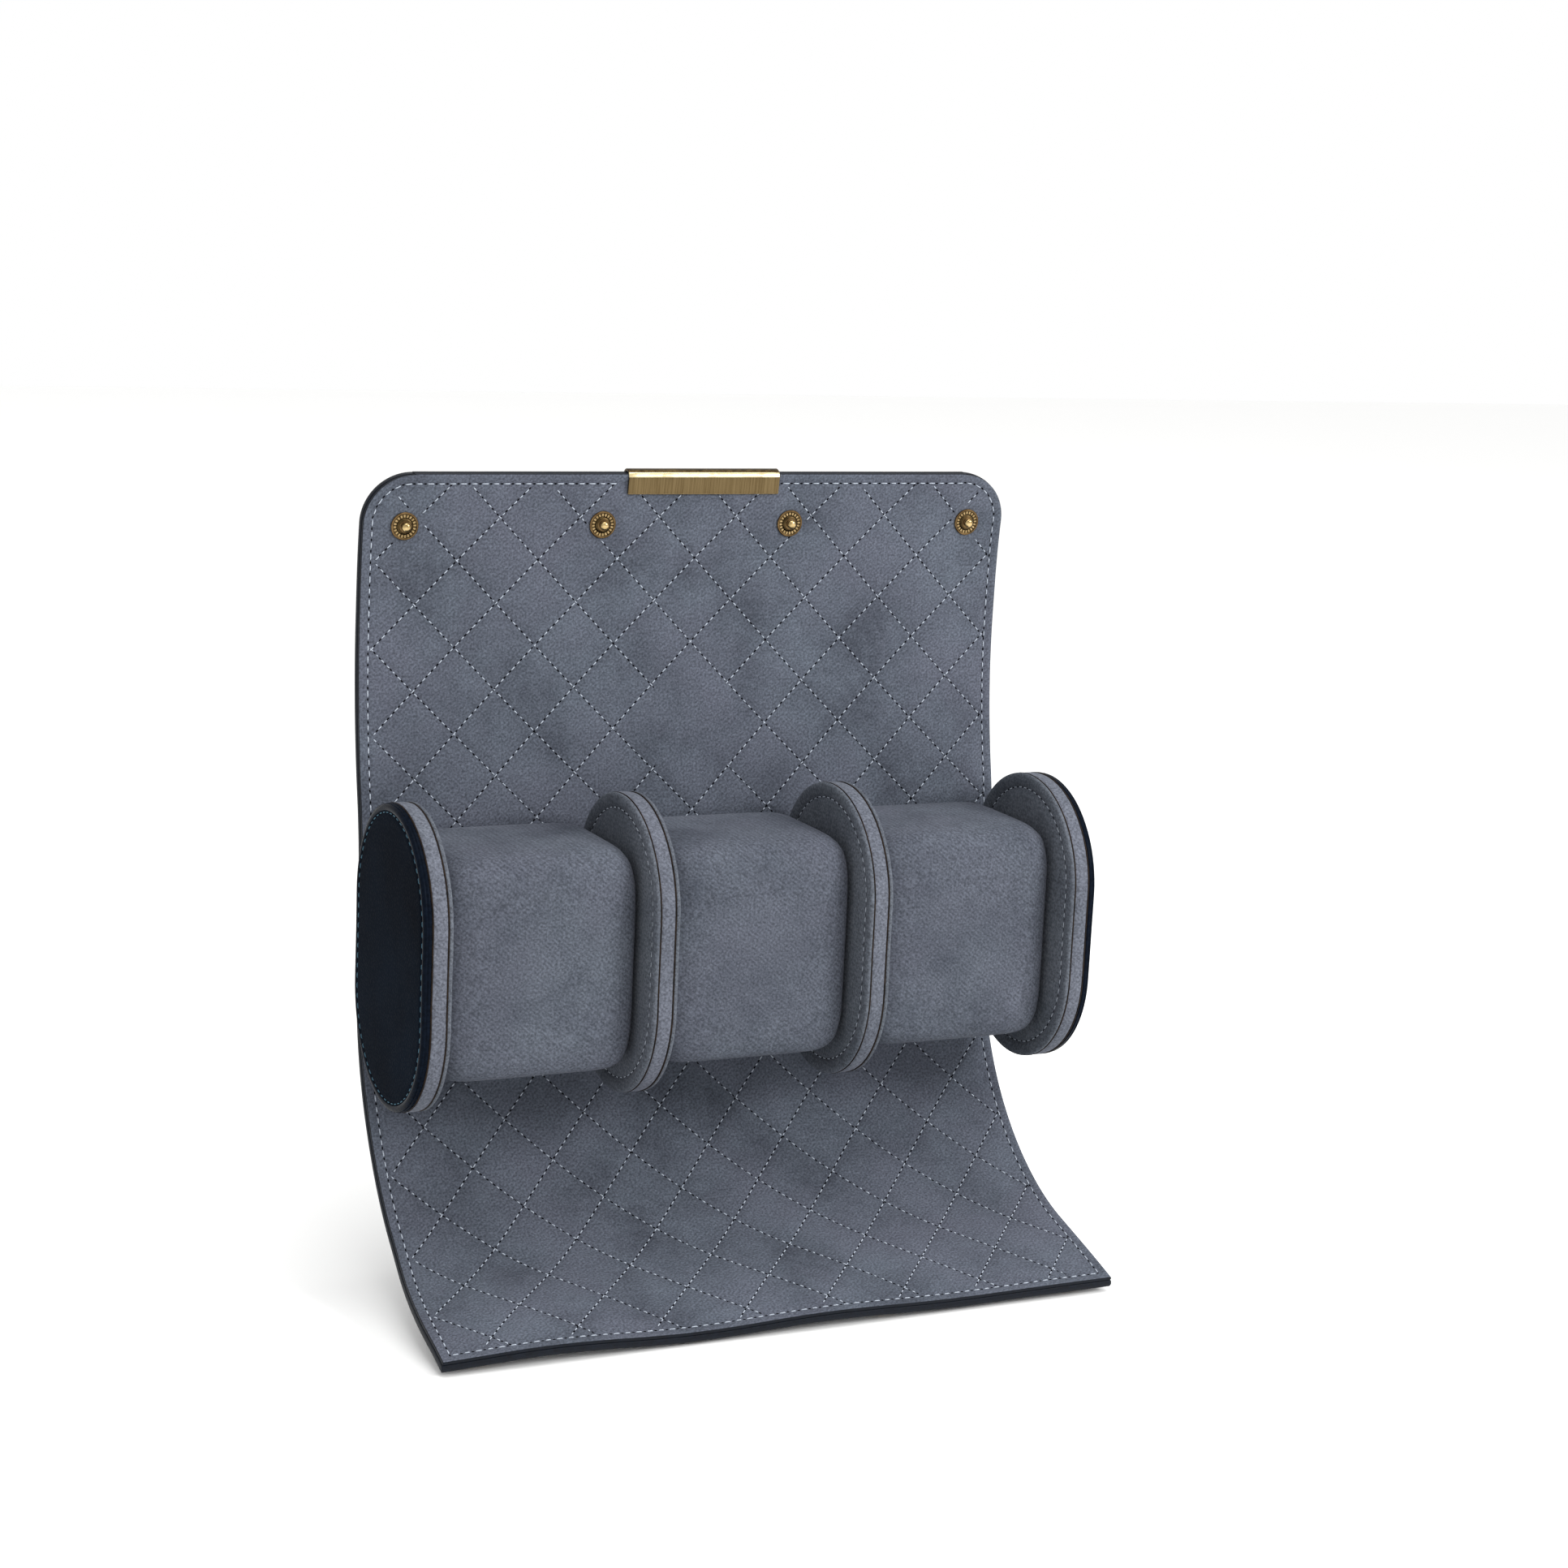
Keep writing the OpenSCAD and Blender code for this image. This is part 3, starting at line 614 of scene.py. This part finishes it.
for side, i, sA, sB in flapStretches:
    freeEnd = {"upper": "top", "lower": "bottom"}[side] if i == 4 else None
    inset = flap["overhang"] + flap["liningIn"]
    low, high = trimmed(side, i, sA, sB, inset)
    made, X, S, kinds = shell(
        "lining" + side.capitalize() + str(i), flapRows(low, high, flap["liningStep"]), liningColumns, liningFace,
        liningBack, inset, freeEnd, [quiltedSuede, edgePaint], liningRim)
    # the puff attribute drives the quilted suede's painted shade in the sewn lines and its slight painted highlight on
    # the crowns
    finishShell(made, X, S, kinds, 0, 1.0, liningFace, np.clip((puffHeight(X, S) + 0.45) / 0.6, 0, 1))
    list(bodiesOf(side, i))
    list(creasePoints(side, i))
    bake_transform(made)
    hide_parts(side + "_%d_lining" % i)
    inset = flap["overhang"]
    low, high = trimmed(side, i, sA, sB, inset)
    made, X, S, kinds = shell(
        "leather" + side.capitalize() + str(i), flapRows(low, high, flap["leatherStep"]), leatherColumns,
        leatherFront, leatherBack, inset, freeEnd, [grainedLeather, edgePaint], leatherRim)
    finishShell(made, X, S, kinds, 2, -1.0, leatherBack, None)
    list(bodiesOf(side, i))
    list(creasePoints(side, i))
    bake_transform(made)
    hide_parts(side + "_%d_leather" % i, side + "_%d_interlining" % i)
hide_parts("back_lining", "back_stiffener")
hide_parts("back_leather")
print("flap: lining and leather in", 2 * len(flapStretches), "pieces")

# --- thread: each stitch is a short arched strand that dives into the needle's holes ---

strand = {"radius": 0.17, "rise": 0.06, "dive": 0.16, "sides": 5, "hole": 0.22, "holeLength": (0.5, 0.9),
          "holeDepth": 0.08, "holeRise": 0.02, "floor": -0.10, "proud": 0.11, "sunk": 0.16, "quilt": 1.05,
          "quiltUneven": 0.28, "border": 1.7, "uneven": 0.12, "barHalf": 23.5}


def strandShape():
    # one stitch of unit length along +X: rings of a few sides, thin at both ends
    rings = []
    m = strand["sides"]
    for t, r, h in ((-0.5, 0.45, -strand["dive"]), (-0.3, 0.95, 0.5 * strand["rise"]),
                    (0.3, 0.95, 0.5 * strand["rise"]), (0.5, 0.45, -strand["dive"])):
        for k in range(m):
            a = 2 * math.pi * (k + 0.5) / m
            rings.append((t, strand["radius"] * r * math.cos(a), h + strand["radius"] * r * math.sin(a)))
    faces = [[i * m + k, (i + 1) * m + k, (i + 1) * m + (k + 1) % m, i * m + (k + 1) % m]
             for i in range(3) for k in range(m)]
    faces += [list(range(m)), [3 * m + k for k in range(m)][::-1]]
    return np.array(rings), faces


def holeShape():
    # a flat six-sided pit of unit length that lies in the stitch line
    rim = [(0.5 * math.cos(a), strand["hole"] * math.sin(a), 0.0) for a in np.arange(6) * math.pi / 3]
    faces = [[k, (k + 1) % 6, 7] for k in range(6)] + [[(k + 1) % 6, k, 6] for k in range(6)]
    return np.array(rim + [(0, 0, -strand["holeDepth"]), (0, 0, strand["holeRise"])]), faces


def sewn(name, places, pitch, mapTo, materials, mirrored=False, slim=1.0):
    # copies of one stitch and one hole, laid at (p, q, direction, thread length), carried to the surface by mapTo
    p, q, angle, thread = (np.array(v)[:, None] for v in zip(*places))
    ca, sa = np.cos(angle), np.sin(angle)
    points, faces, kinds = [], [], []
    pit = np.clip((pitch - thread) * 0.95, *strand["holeLength"])
    way = -1 if mirrored else 1
    for kind, ((shape, shapeFaces), long, shift) in enumerate(((strandShape(), thread, 0.0),
                                                               (holeShape(), pit, 0.5 * pitch))):
        u = shape[None, :, 0] * long + shift
        v, height = (np.broadcast_to(shape[None, :, k] * slim, (len(p), len(shape))) for k in (1, 2))
        base = sum(len(w) for w in points)
        points.append(mapTo(p + u * ca - v * sa, q + u * sa + v * ca, height).reshape(-1, 3))
        for i in range(len(p)):
            faces += [[base + i * len(shape) + k for k in f][::way] for f in shapeFaces]
        kinds += [kind] * (len(p) * len(shapeFaces))
    return meshObject(name, np.concatenate(points), faces, materials, kinds)


def quiltPlaces():
    # stitches along both families of slanting lines, kept inside the border and out of the big diamond
    places = []
    dx, ds = quilt["pitchX"], quilt["pitchS"]
    along = quilt["stitch"] / math.hypot(dx, ds)
    low = quilt["bareRow"]
    for family in (1, -1):
        for line in range(-quilt["lines"], quilt["lines"] + 1):
            for k in range(int(-quilt["span"] / along), int(quilt["span"] / along)):
                t = k * along + 0.13 * line
                u, v = (line, t) if family == 1 else (t, line)
                x, s = dx * (u + v), float(drawnOut(quilt["anchor"] + ds * (u - v), back=True))
                across = quilt["nearSeam"] < family * t < -low - quilt["nearSeam"]
                bare = line == family * low / 2 and across  # these would cross the big diamond
                if bare or not (bottomS < s < topS and abs(x) < flap["width"] / 2):
                    continue
                if borderDistance(x, s) < quilt["clear"]:
                    continue
                if min(math.hypot(x - sx, s - snaps["s"]) for sx in snaps["x"]) < snaps["pressed"]:
                    continue
                slope = -family * ds / (quilt["drawn"] if s < quilt["drawnFrom"] else 1)
                uneven = strand["quiltUneven"] * math.sin(2.3 * k + 1.7 * line)
                thread = strand["quilt"] + uneven - strand["uneven"] * family
                places.append((x, s, math.atan2(slope, dx), thread))
    return places


def borderPlaces(pitch):
    # stitches round the flap, in from its edges
    side, r = quilt["sideLine"], flap["corner"] - quilt["cornerIn"]
    half, top, low = flap["width"] / 2 - side, topS - quilt["topLine"], bottomS + side
    turn = [(r - r * math.cos(a), r - r * math.sin(a)) for a in np.linspace(0, math.pi / 2, 24)]
    path = [(-half, low), (half, low)] + [(half - u, top - v) for u, v in turn]
    path += [(u - half, top - v) for u, v in turn[::-1]] + [(-half, low)]
    return walk(path, pitch, strand["border"])


def walk(path, pitch, thread):
    # even places along a path, a whole number of them
    path = np.array(path)
    runs = np.linalg.norm(np.diff(path, axis=0), axis=1)
    total = np.concatenate([[0], np.cumsum(runs)])
    count = int(round(total[-1] / pitch))
    places = []
    for k in range(count):
        t = (k + 0.5) * total[-1] / count
        i = min(int(np.searchsorted(total, t, side="right")) - 1, len(runs) - 1)
        f = (t - total[i]) / runs[i]
        p = path[i] + (path[i + 1] - path[i]) * f
        d = path[i + 1] - path[i]
        places.append((*p, math.atan2(d[1], d[0]), thread * (1 + strand["uneven"] * math.sin(3.7 * k))))
    return places


def onLining(x, s, h):
    # thread and holes lie just proud of the sewn channel's floor
    return onFlap(x, s, -(np.minimum(puffHeight(x, s), strand["floor"]) + strand["proud"] + h))


def onLeather(x, s, h):
    return onFlap(x, s, flap["thick"] - strand["sunk"] + h)


quiltAt, edgeAt = quiltPlaces(), borderPlaces(quilt["borderStitch"])
edgeAt = [p for p in edgeAt if not (abs(p[0]) < strand["barHalf"] and p[1] > 0)]  # none under the brass bar
sewing = (("quiltStitches", quiltAt, quilt["stitch"], onLining, paleThread, "quilted_suede"),
          ("edgeStitches", edgeAt, quilt["borderStitch"], onLining, paleThread, "quilted_suede"),
          ("backStitches", edgeAt, quilt["borderStitch"], onLeather, tealThread, "grained_leather"))
for side, i, sA, sB in flapStretches:
    for name, places, pitch, mapTo, finish, slotName in sewing:
        chosen = [p for p in places if sA <= p[1] < sB]
        made = sewn(name + side.capitalize() + str(i), chosen, pitch, mapTo, (finish, awlHole), mapTo is onLining)
        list(bodiesOf(side, i))
        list(creasePoints(side, i))
        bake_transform(made)
print("thread: %d quilt stitches, %d border stitches" % (len(quiltAt), len(edgeAt)))

# --- dividers: card under suede or leather, with a rolled rim, a sewn row and a band round the edge ---

divider = {"radius": 28.0, "straight": 24.0, "middle": (7.46715, 93.344), "arcPoints": 44, "straightPoints": 12,
           "stitch": 2.7, "thread": 1.5, "proud": 0.08, "suede": {"sewIn": 4.0, "sewnAt": 0.42},
           "leather": {"sewIn": 2.4, "sewnAt": 1.80}, "uneven": 0.05}
band = {"tucked": [(26.6, 0.02), (27.5, 0.03)], "radius": 27.98, "inset": 0.05, "crown": 0.34, "rows": 12}
# a face's glue: how far in from the face's own plane, and how proud of the band
glue = {"radius": 27.62, "swell": 0.36, "half": 0.26, "rows": 6, "uneven": 0.06, "left": (0.18, 0.10),
        "right": (-0.16, 0.03)}
suedeFace = [(27.0, 0.0), (27.90, 0.02), (28.0, 0.25), (28.0, 0.55), (27.92, 0.82), (27.68, 1.05), (27.25, 1.20),
             (26.7, 1.26), (26.0, 1.21), (25.2, 1.04), (24.6, 0.78), (24.25, 0.50), (24.0, 0.42), (23.75, 0.50),
             (23.4, 0.68), (22.6, 0.84), (21.0, 0.93), (18, 1.02), (12, 1.02), (6, 1.02), (1.0, 1.02)]  # radius, height
leatherFace = [(27.0, 0.0), (27.75, 0.03), (27.95, 0.18), (28.0, 0.45), (27.97, 0.80), (27.84, 0.98), (27.74, 1.06),
               (27.82, 1.15), (27.86, 1.38), (27.76, 1.66), (27.45, 1.92), (27.05, 2.08), (26.6, 2.10), (26.15, 1.98),
               (25.85, 1.86), (25.6, 1.80), (25.3, 1.87), (25.0, 1.99), (24.7, 2.06), (24.2, 2.08), (23.7, 2.09),
               (22, 2.12), (18, 2.16), (12, 2.18), (6, 2.18), (1.0, 2.18)]


def stadium(radius):
    # points round a rim that has straight sides, counter-clockwise seen from +X
    half = divider["straight"] / 2
    y0, z0 = divider["middle"]
    points = []
    n, m = divider["arcPoints"], divider["straightPoints"]
    for start, zc in ((0, half), (math.pi, -half)):
        for k in range(n):
            a = start + math.pi * k / n
            points.append((y0 + radius * math.cos(a), z0 + zc + radius * math.sin(a)))
        last = -radius if start == 0 else radius
        for k in range(m):
            points.append((y0 + last, z0 + zc - math.copysign(divider["straight"] * k / m, zc)))
    return points


def loft(name, rings, materials, kinds=None, wobble=0.0, seed=0.0):
    # rings are (radius, x) pairs; the first and the last are closed flat
    points = []
    for radius, x in rings:
        for y, z in stadium(radius):
            points.append(((x + wobble * waves(y, z, seed, 22)) * mm, y * mm, z * mm))
    m = len(points) // len(rings)
    faces = [[i * m + k, i * m + (k + 1) % m, (i + 1) * m + (k + 1) % m, (i + 1) * m + k]
             for i in range(len(rings) - 1) for k in range(m)]
    faces += [list(range(m))[::-1], [(len(rings) - 1) * m + k for k in range(m)]]
    return meshObject(name, points, faces, materials, kinds)


def facePlate(name, xBase, outward, leather):
    # one padded face: a rolled rim, a pressed sewing line and a slightly full middle
    profile = leatherFace if leather else suedeFace
    rings = [(r, xBase + outward * h) for r, h in profile]
    rim = [1 if h > 0 and r > 26.5 else 0 for r, h in profile][:-1]
    if outward < 0:
        rings, rim = rings[::-1], rim[::-1]
    finishes = [dividerLeather, waxedRim] if leather else [dividerSuede]
    around = 2 * (divider["arcPoints"] + divider["straightPoints"])
    kinds = [k for k in rim for j in range(around)] + [0, 0] if leather else None
    made = loft(name, rings, finishes, kinds, divider["uneven"], abs(xBase) * 0.31 + outward)
    stitchRows(name + "Stitches", xBase, outward, leather)
    return made


def stitchRows(name, xBase, outward, leather):
    # one row round the face; the places are laid in the face's own plane (y, z)
    row = divider["leather" if leather else "suede"]
    path = stadium(divider["radius"] - row["sewIn"])
    path.append(path[0])

    def onFace(y, z, h):
        return np.stack([(xBase + outward * (row["sewnAt"] + divider["proud"] + h)) * mm + 0 * y, y * mm, z * mm], -1)
    places = walk(path, divider["stitch"], divider["thread"])
    made = sewn(name, places, divider["stitch"], onFace, (tealThread if leather else paleThread, awlHole),
                outward > 0, 0.8)
    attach(made, "root")


def glueRing(name, x, proud, seed):
    # the dark line of burnished glue where a face meets the band
    angles = [math.pi * k / glue["rows"] for k in range(glue["rows"] + 1)]
    rings = [(glue["radius"] + (glue["swell"] + proud) * math.sin(a), x - glue["half"] * math.cos(a)) for a in angles]
    made = loft(name, rings, [glueLine], None, glue["uneven"], seed)
    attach(made, "root")


for i in range(1, 5):
    left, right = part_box("divider_%d_left_face" % i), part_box("divider_%d_right_face" % i)
    x0, x1, x2, x3 = left[0].x / mm, left[1].x / mm, right[0].x / mm, right[1].x / mm
    for xBase, far, outward, which in ((x1, x0, -1, "left"), (x2, x3, 1, "right")):
        leather = abs(far - xBase) > 1.5
        made = facePlate("divider%d%sFace" % (i, which.capitalize()), xBase, outward, leather)
        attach(made, "root")
        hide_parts("divider_%d_%s_face" % (i, which))
    middle, half = (x1 + x2) / 2, (x2 - x1) / 2
    rings = [(radius, x1 + inset) for radius, inset in band["tucked"]]
    for k in range(band["rows"] + 1):
        t = 2 * k / band["rows"] - 1
        rings.append((band["radius"] - band["crown"] * abs(t) ** 3.5, middle + (half - band["inset"]) * t))
    rings += [(radius, x2 - inset) for radius, inset in band["tucked"][::-1]]
    made = loft("divider%dBand" % i, rings, [bandSuede])
    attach(made, "root")
    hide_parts("divider_%d_band" % i, "divider_%d_board" % i)
    for which, xBase, seed in (("left", x1, 2.0), ("right", x2, 7.0)):
        aside, proud = glue[which]
        glueRing("divider%d%sGlue" % (i, which.capitalize()), xBase + aside, proud, seed + i)
print("dividers made")

# --- cushions: foam blocks under suede, swollen by the cloth solver ---

cushion = {"voxel": 3.0, "start": 0.985, "pressure": 4.0, "frames": 20, "cap": 0.8, "backRoom": 34.9,
           "ends": 10.0, "sides": 6.5, "trued": 0.85, "ripple": 0.22}


def cushionPiece(i):
    # the foam block swells under its cover, is trued to a boxed form and keeps slow hand-sewn ripples
    low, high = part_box("cushion_%d_cover" % i)
    centre, half = (low + high) / 2, (high - low) / 2
    made = newObject("suedeCushion%d" % i, nodes["cushion_%d_cover" % i].data.copy())
    mesh = made.data
    mesh.materials.clear()
    bm = bmesh.new()
    bm.from_mesh(mesh)
    bmesh.ops.remove_doubles(bm, verts=bm.verts, dist=1e-6)
    outer = newest = {max(bm.verts, key=lambda v: v.co.x)}
    while newest:  # the cover is a shell round the foam: only its outer wall is the pad's skin
        newest = {e.other_vert(v) for v in newest for e in v.link_edges} - outer
        outer = outer | newest
    bmesh.ops.delete(bm, geom=[v for v in bm.verts if v not in outer], context="VERTS")
    for v in bm.verts:
        v.co = centre + (v.co - centre) * cushion["start"]
    bm.to_mesh(mesh)
    bm.free()
    shapeWith(made, "REMESH", {"mode": "VOXEL", "voxel_size": cushion["voxel"] * mm})
    rest = np.array([v.co for v in mesh.vertices])
    cloth = made.modifiers.new("swelling", "CLOTH")
    cloth.settings.use_pressure = True
    cloth.settings.uniform_pressure_force = cushion["pressure"]
    cloth.settings.effector_weights.gravity = 0
    cloth.settings.quality = 5
    for k in range(1, cushion["frames"] + 1):
        bpy.context.scene.frame_set(k)
    only(made)
    bpy.ops.object.modifier_apply(modifier="swelling")
    bpy.context.scene.frame_set(1)
    now = np.array([v.co for v in made.data.vertices])
    far = np.linalg.norm(now - rest, axis=1)[:, None]
    now = rest + (now - rest) * np.minimum(1, cushion["cap"] * mm / np.maximum(far, 1e-9))
    # each point's place in the box, and the size of the superellipsoid it lies on
    out = (now - np.array(centre)) / np.array(half)
    side, end = cushion["sides"], cushion["ends"]
    ring = (np.abs(out[:, 1]) ** side + np.abs(out[:, 2]) ** side) ** (end / side)
    size = (np.abs(out[:, 0]) ** end + ring) ** (1 / end)
    out *= (1 + cushion["trued"] * (1 / size - 1))[:, None]
    now = np.array(centre) + out * np.array(half)
    wave = waves(now[:, 0] / mm + 40 * i, now[:, 2] / mm + now[:, 1] / mm, 5.0 + i, 34)
    now[:, 1] -= cushion["ripple"] * mm * wave * np.clip(-out[:, 1], 0, 1)
    now[:, 1] = np.minimum(now[:, 1], cushion["backRoom"] * mm)
    made.data.vertices.foreach_set("co", now.astype(np.float32).reshape(-1))
    shapeWith(made, "SUBSURF", {"levels": 2, "render_levels": 2})
    made.data.materials.append(cushionSuede)
    bpy.ops.object.shade_smooth()
    return made


for i in range(1, 4):
    made = cushionPiece(i)
    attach(made, "cushion_%d" % i)
    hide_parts("cushion_%d_cover" % i, "cushion_%d_foam" % i)
print("cushions made")

# --- brass: the edge bar, the snap studs and the snap sockets ---

# the bar's finishes: lighter brass along its bottom edge, a painted highlight strip on the fold's front, painted shade
# on the fold's top and back
bar = {"length": 44.4, "aside": 0.8, "plate": 0.8, "front": -0.8, "low": 15.0, "turnAt": 19.3, "turn": 2.3,
       "bevel": 0.2, "paleEdge": 0.25, "highlightBand": (0.3, 1.6)}
# turned from (radius, height) steps in mm; finishes change at the heights and radii named here
stud = {"sides": 40, "raise": 0.13, "ledge": (2.4, 3.0), "ledgeTop": 0.22, "teeth": (0.3, 0.37), "seat": 0.06,
        "worn": 1.5, "dark": (0.8, 3.2), "steps": [
    (3.70, 0.0), (3.75, 0.16), (3.72, 0.36), (3.55, 0.50), (3.28, 0.50), (3.10, 0.40), (3.05, 0.24), (2.35, 0.20),
    (2.22, 0.30), (2.15, 0.52), (1.92, 0.70), (1.55, 0.78), (1.10, 0.84), (0.98, 1.00), (1.08, 1.18), (1.22, 1.40),
    (1.26, 1.62), (1.18, 1.92), (0.94, 2.20), (0.55, 2.37), (0.12, 2.40)]}
socket = {"along": 37.41, "sides": 40, "seat": -0.24, "worn": 1.2, "dark": 1.9, "steps": [
    (3.70, 0.0), (3.75, 0.14), (3.66, 0.34), (3.45, 0.42), (3.20, 0.36), (3.02, 0.30), (2.80, 0.40), (2.68, 0.70),
    (2.60, 1.00), (2.45, 1.20), (2.20, 1.26), (1.95, 1.20), (1.80, 1.05), (1.78, 0.80), (1.85, 0.50), (0.20, 0.40)]}


def extrude(up):  # what is picked, by a height in mm
    bpy.ops.mesh.extrude_region_move(TRANSFORM_OT_translate={"value": (0, 0, up * mm)})


def closed():  # leaves edit mode with the faces outward
    bpy.ops.mesh.select_all(action="SELECT")
    bpy.ops.mesh.remove_doubles(threshold=0.01 * mm)
    bpy.ops.mesh.normals_make_consistent(inside=False)
    bpy.ops.object.mode_set(mode="OBJECT")


def pick(made, kind, passes):
    # in edit mode: selects the edges or faces whose middle passes the test, in mm
    bpy.ops.mesh.select_mode(type=kind)
    bpy.ops.mesh.select_all(action="DESELECT")
    bm = bmesh.from_edit_mesh(made.data)
    for item in (bm.edges if kind == "EDGE" else bm.faces):
        middle = sum((v.co for v in item.verts), Vector()) / len(item.verts) / mm
        item.select_set(passes(middle))
    bmesh.update_edit_mesh(made.data)


def finishBrass(made, finishes, finishAt, place, turn, bevel):
    # bevels the arrises, gives each face its finish, then sets the piece in its place
    if bevel:
        shapeWith(made, "BEVEL", {"width": bevel * mm, "segments": 3, "limit_method": "ANGLE",
                                  "angle_limit": math.radians(50)})
    for finish in finishes:
        made.data.materials.append(finish)
    for face in made.data.polygons:
        face.material_index = finishAt(face.center / mm)
    made.matrix_world = Matrix.Translation(place) @ turn.to_matrix().to_4x4()
    only(made)
    bpy.ops.object.transform_apply(location=True, rotation=True, scale=True)
    bpy.ops.object.shade_smooth_by_angle(angle=math.radians(35))
    return made


def edgeBar():
    # a strip of brass folded over the flap's top edge: its front plate, a half-round fold and its back plate
    front, turnAt, radius = bar["front"], bar["turnAt"], bar["turn"]
    drop = turnAt - bar["low"]
    bpy.ops.mesh.primitive_grid_add(x_subdivisions=24, y_subdivisions=3, size=1)
    made = bpy.context.object
    made.name = "edgeBar"
    made.scale = (bar["length"] * mm, drop * mm, 1)
    made.rotation_euler = (math.pi / 2, 0, 0)
    made.location = (0, front * mm, (turnAt - drop / 2) * mm)
    bpy.ops.object.transform_apply(location=True, rotation=True, scale=True)
    bpy.ops.object.mode_set(mode="EDIT")
    pick(made, "EDGE", lambda c: c.z > turnAt - 0.01)
    bpy.ops.mesh.spin(steps=16, angle=math.pi, center=(0, (front + radius) * mm, turnAt * mm), axis=(1, 0, 0))
    pick(made, "EDGE", lambda c: c.y > front + 2 * radius - 0.01 and c.z < turnAt + 0.01)
    extrude(-drop)
    closed()
    shapeWith(made, "SOLIDIFY", {"thickness": bar["plate"] * mm, "offset": -1})

    def finishAt(c):  # lighter brass along the bottom edge, a painted highlight strip on the fold's front, painted shade on its top and back
        if c.z < bar["low"] + bar["paleEdge"]:
            return 3
        if c.z < turnAt + bar["highlightBand"][0]:
            return 0
        return 1 if c.z < turnAt + bar["highlightBand"][1] and c.y < front + radius else 2
    joint = foldAt["upper_fold_4"]
    place = Vector((bar["aside"] * mm, joint[1], joint[2]))
    turn = Matrix.Rotation(upperHeadings[4] - math.pi / 2, 3, "X").to_quaternion()
    return finishBrass(made, [brushedBrass, polishedAndHighlightBrass, patinaAndShadeBrass, plainBrass], finishAt, place, turn,
                       bar["bevel"])


def onLedge(c):
    return stud["ledge"][0] < math.hypot(c.x, c.y) < stud["ledge"][1]


def turned(name, shape):
    # drawn up ring by ring from a disc: (radius, height) in mm
    steps = shape["steps"]
    bpy.ops.mesh.primitive_circle_add(vertices=shape["sides"], radius=steps[0][0] * mm, fill_type="NGON")
    made = bpy.context.object
    made.name = name
    bpy.ops.object.mode_set(mode="EDIT")
    bpy.ops.mesh.select_mode(type="FACE")
    bpy.ops.mesh.select_all(action="SELECT")
    for (r0, h0), (r1, h1) in zip(steps, steps[1:]):
        extrude(h1 - h0)
        bpy.ops.transform.resize(value=(r1 / r0, r1 / r0, 1), center_override=(0, 0, h1 * mm))
    if "raise" in shape:  # teeth pressed into the ledge, one in every second face
        step = 2 * math.pi / shape["sides"]
        pick(made, "FACE", lambda c: abs(c.z - stud["ledgeTop"]) < 0.03 and onLedge(c)
             and round(math.atan2(c.y, c.x) / step - 0.5) % 2 == 0)
        extrude(shape["raise"])
    closed()
    return made


def seat(x, s, n, sign):
    # where a fitting sits on the flap, and the way its axis points: sign is 1 on the lining, -1 on the leather
    at = onFlap(x, s, n)
    across = onFlap(x + 1, s, n) - onFlap(x - 1, s, n)
    along = onFlap(x, s + 1, n) - onFlap(x, s - 1, n)
    axis = Vector(np.cross(across, along) * sign)
    return Vector(at), axis.to_track_quat("Z", "Y")


def fittings(name, shape, s, n, sign, finishes, finishAt):
    # one turned piece, copied to the four places and joined
    first = turned(name, shape)
    copies = []
    for k, x in enumerate(snaps["x"]):
        one = first if k == 3 else newObject(name, first.data.copy())
        place, turn = seat(x, s, n, sign)
        copies.append(finishBrass(one, finishes, finishAt, place, turn, 0))
    only(first)
    for one in copies:
        one.select_set(True)
    bpy.ops.object.join()
    return first


made = edgeBar()
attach(made, "upper_4")
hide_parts("edge_bar")
made = fittings("snapStuds", stud, snaps["s"], stud["seat"], 1, [agedBrass, wornBrass, patinaAndShadeBrass, plainBrass],
                lambda c: 1 if c.z > stud["worn"] else 3 if stud["teeth"][0] < c.z < stud["teeth"][1] and onLedge(c)
                else (2 if c.z < stud["dark"][0] and math.hypot(c.x, c.y) < stud["dark"][1] else 0))
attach(made, "upper_4")
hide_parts("snap_studs")
made = fittings("snapSockets", socket, -(sum(lowerLengths[:4]) + socket["along"]), flap["thick"] + socket["seat"],
                -1, [agedBrass, wornBrass, patinaAndShadeBrass],
                lambda c: 1 if c.z > socket["worn"] else (2 if math.hypot(c.x, c.y) < socket["dark"] else 0))
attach(made, "lower_4")
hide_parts("snap_sockets")
print("brass: edge bar, studs and sockets")
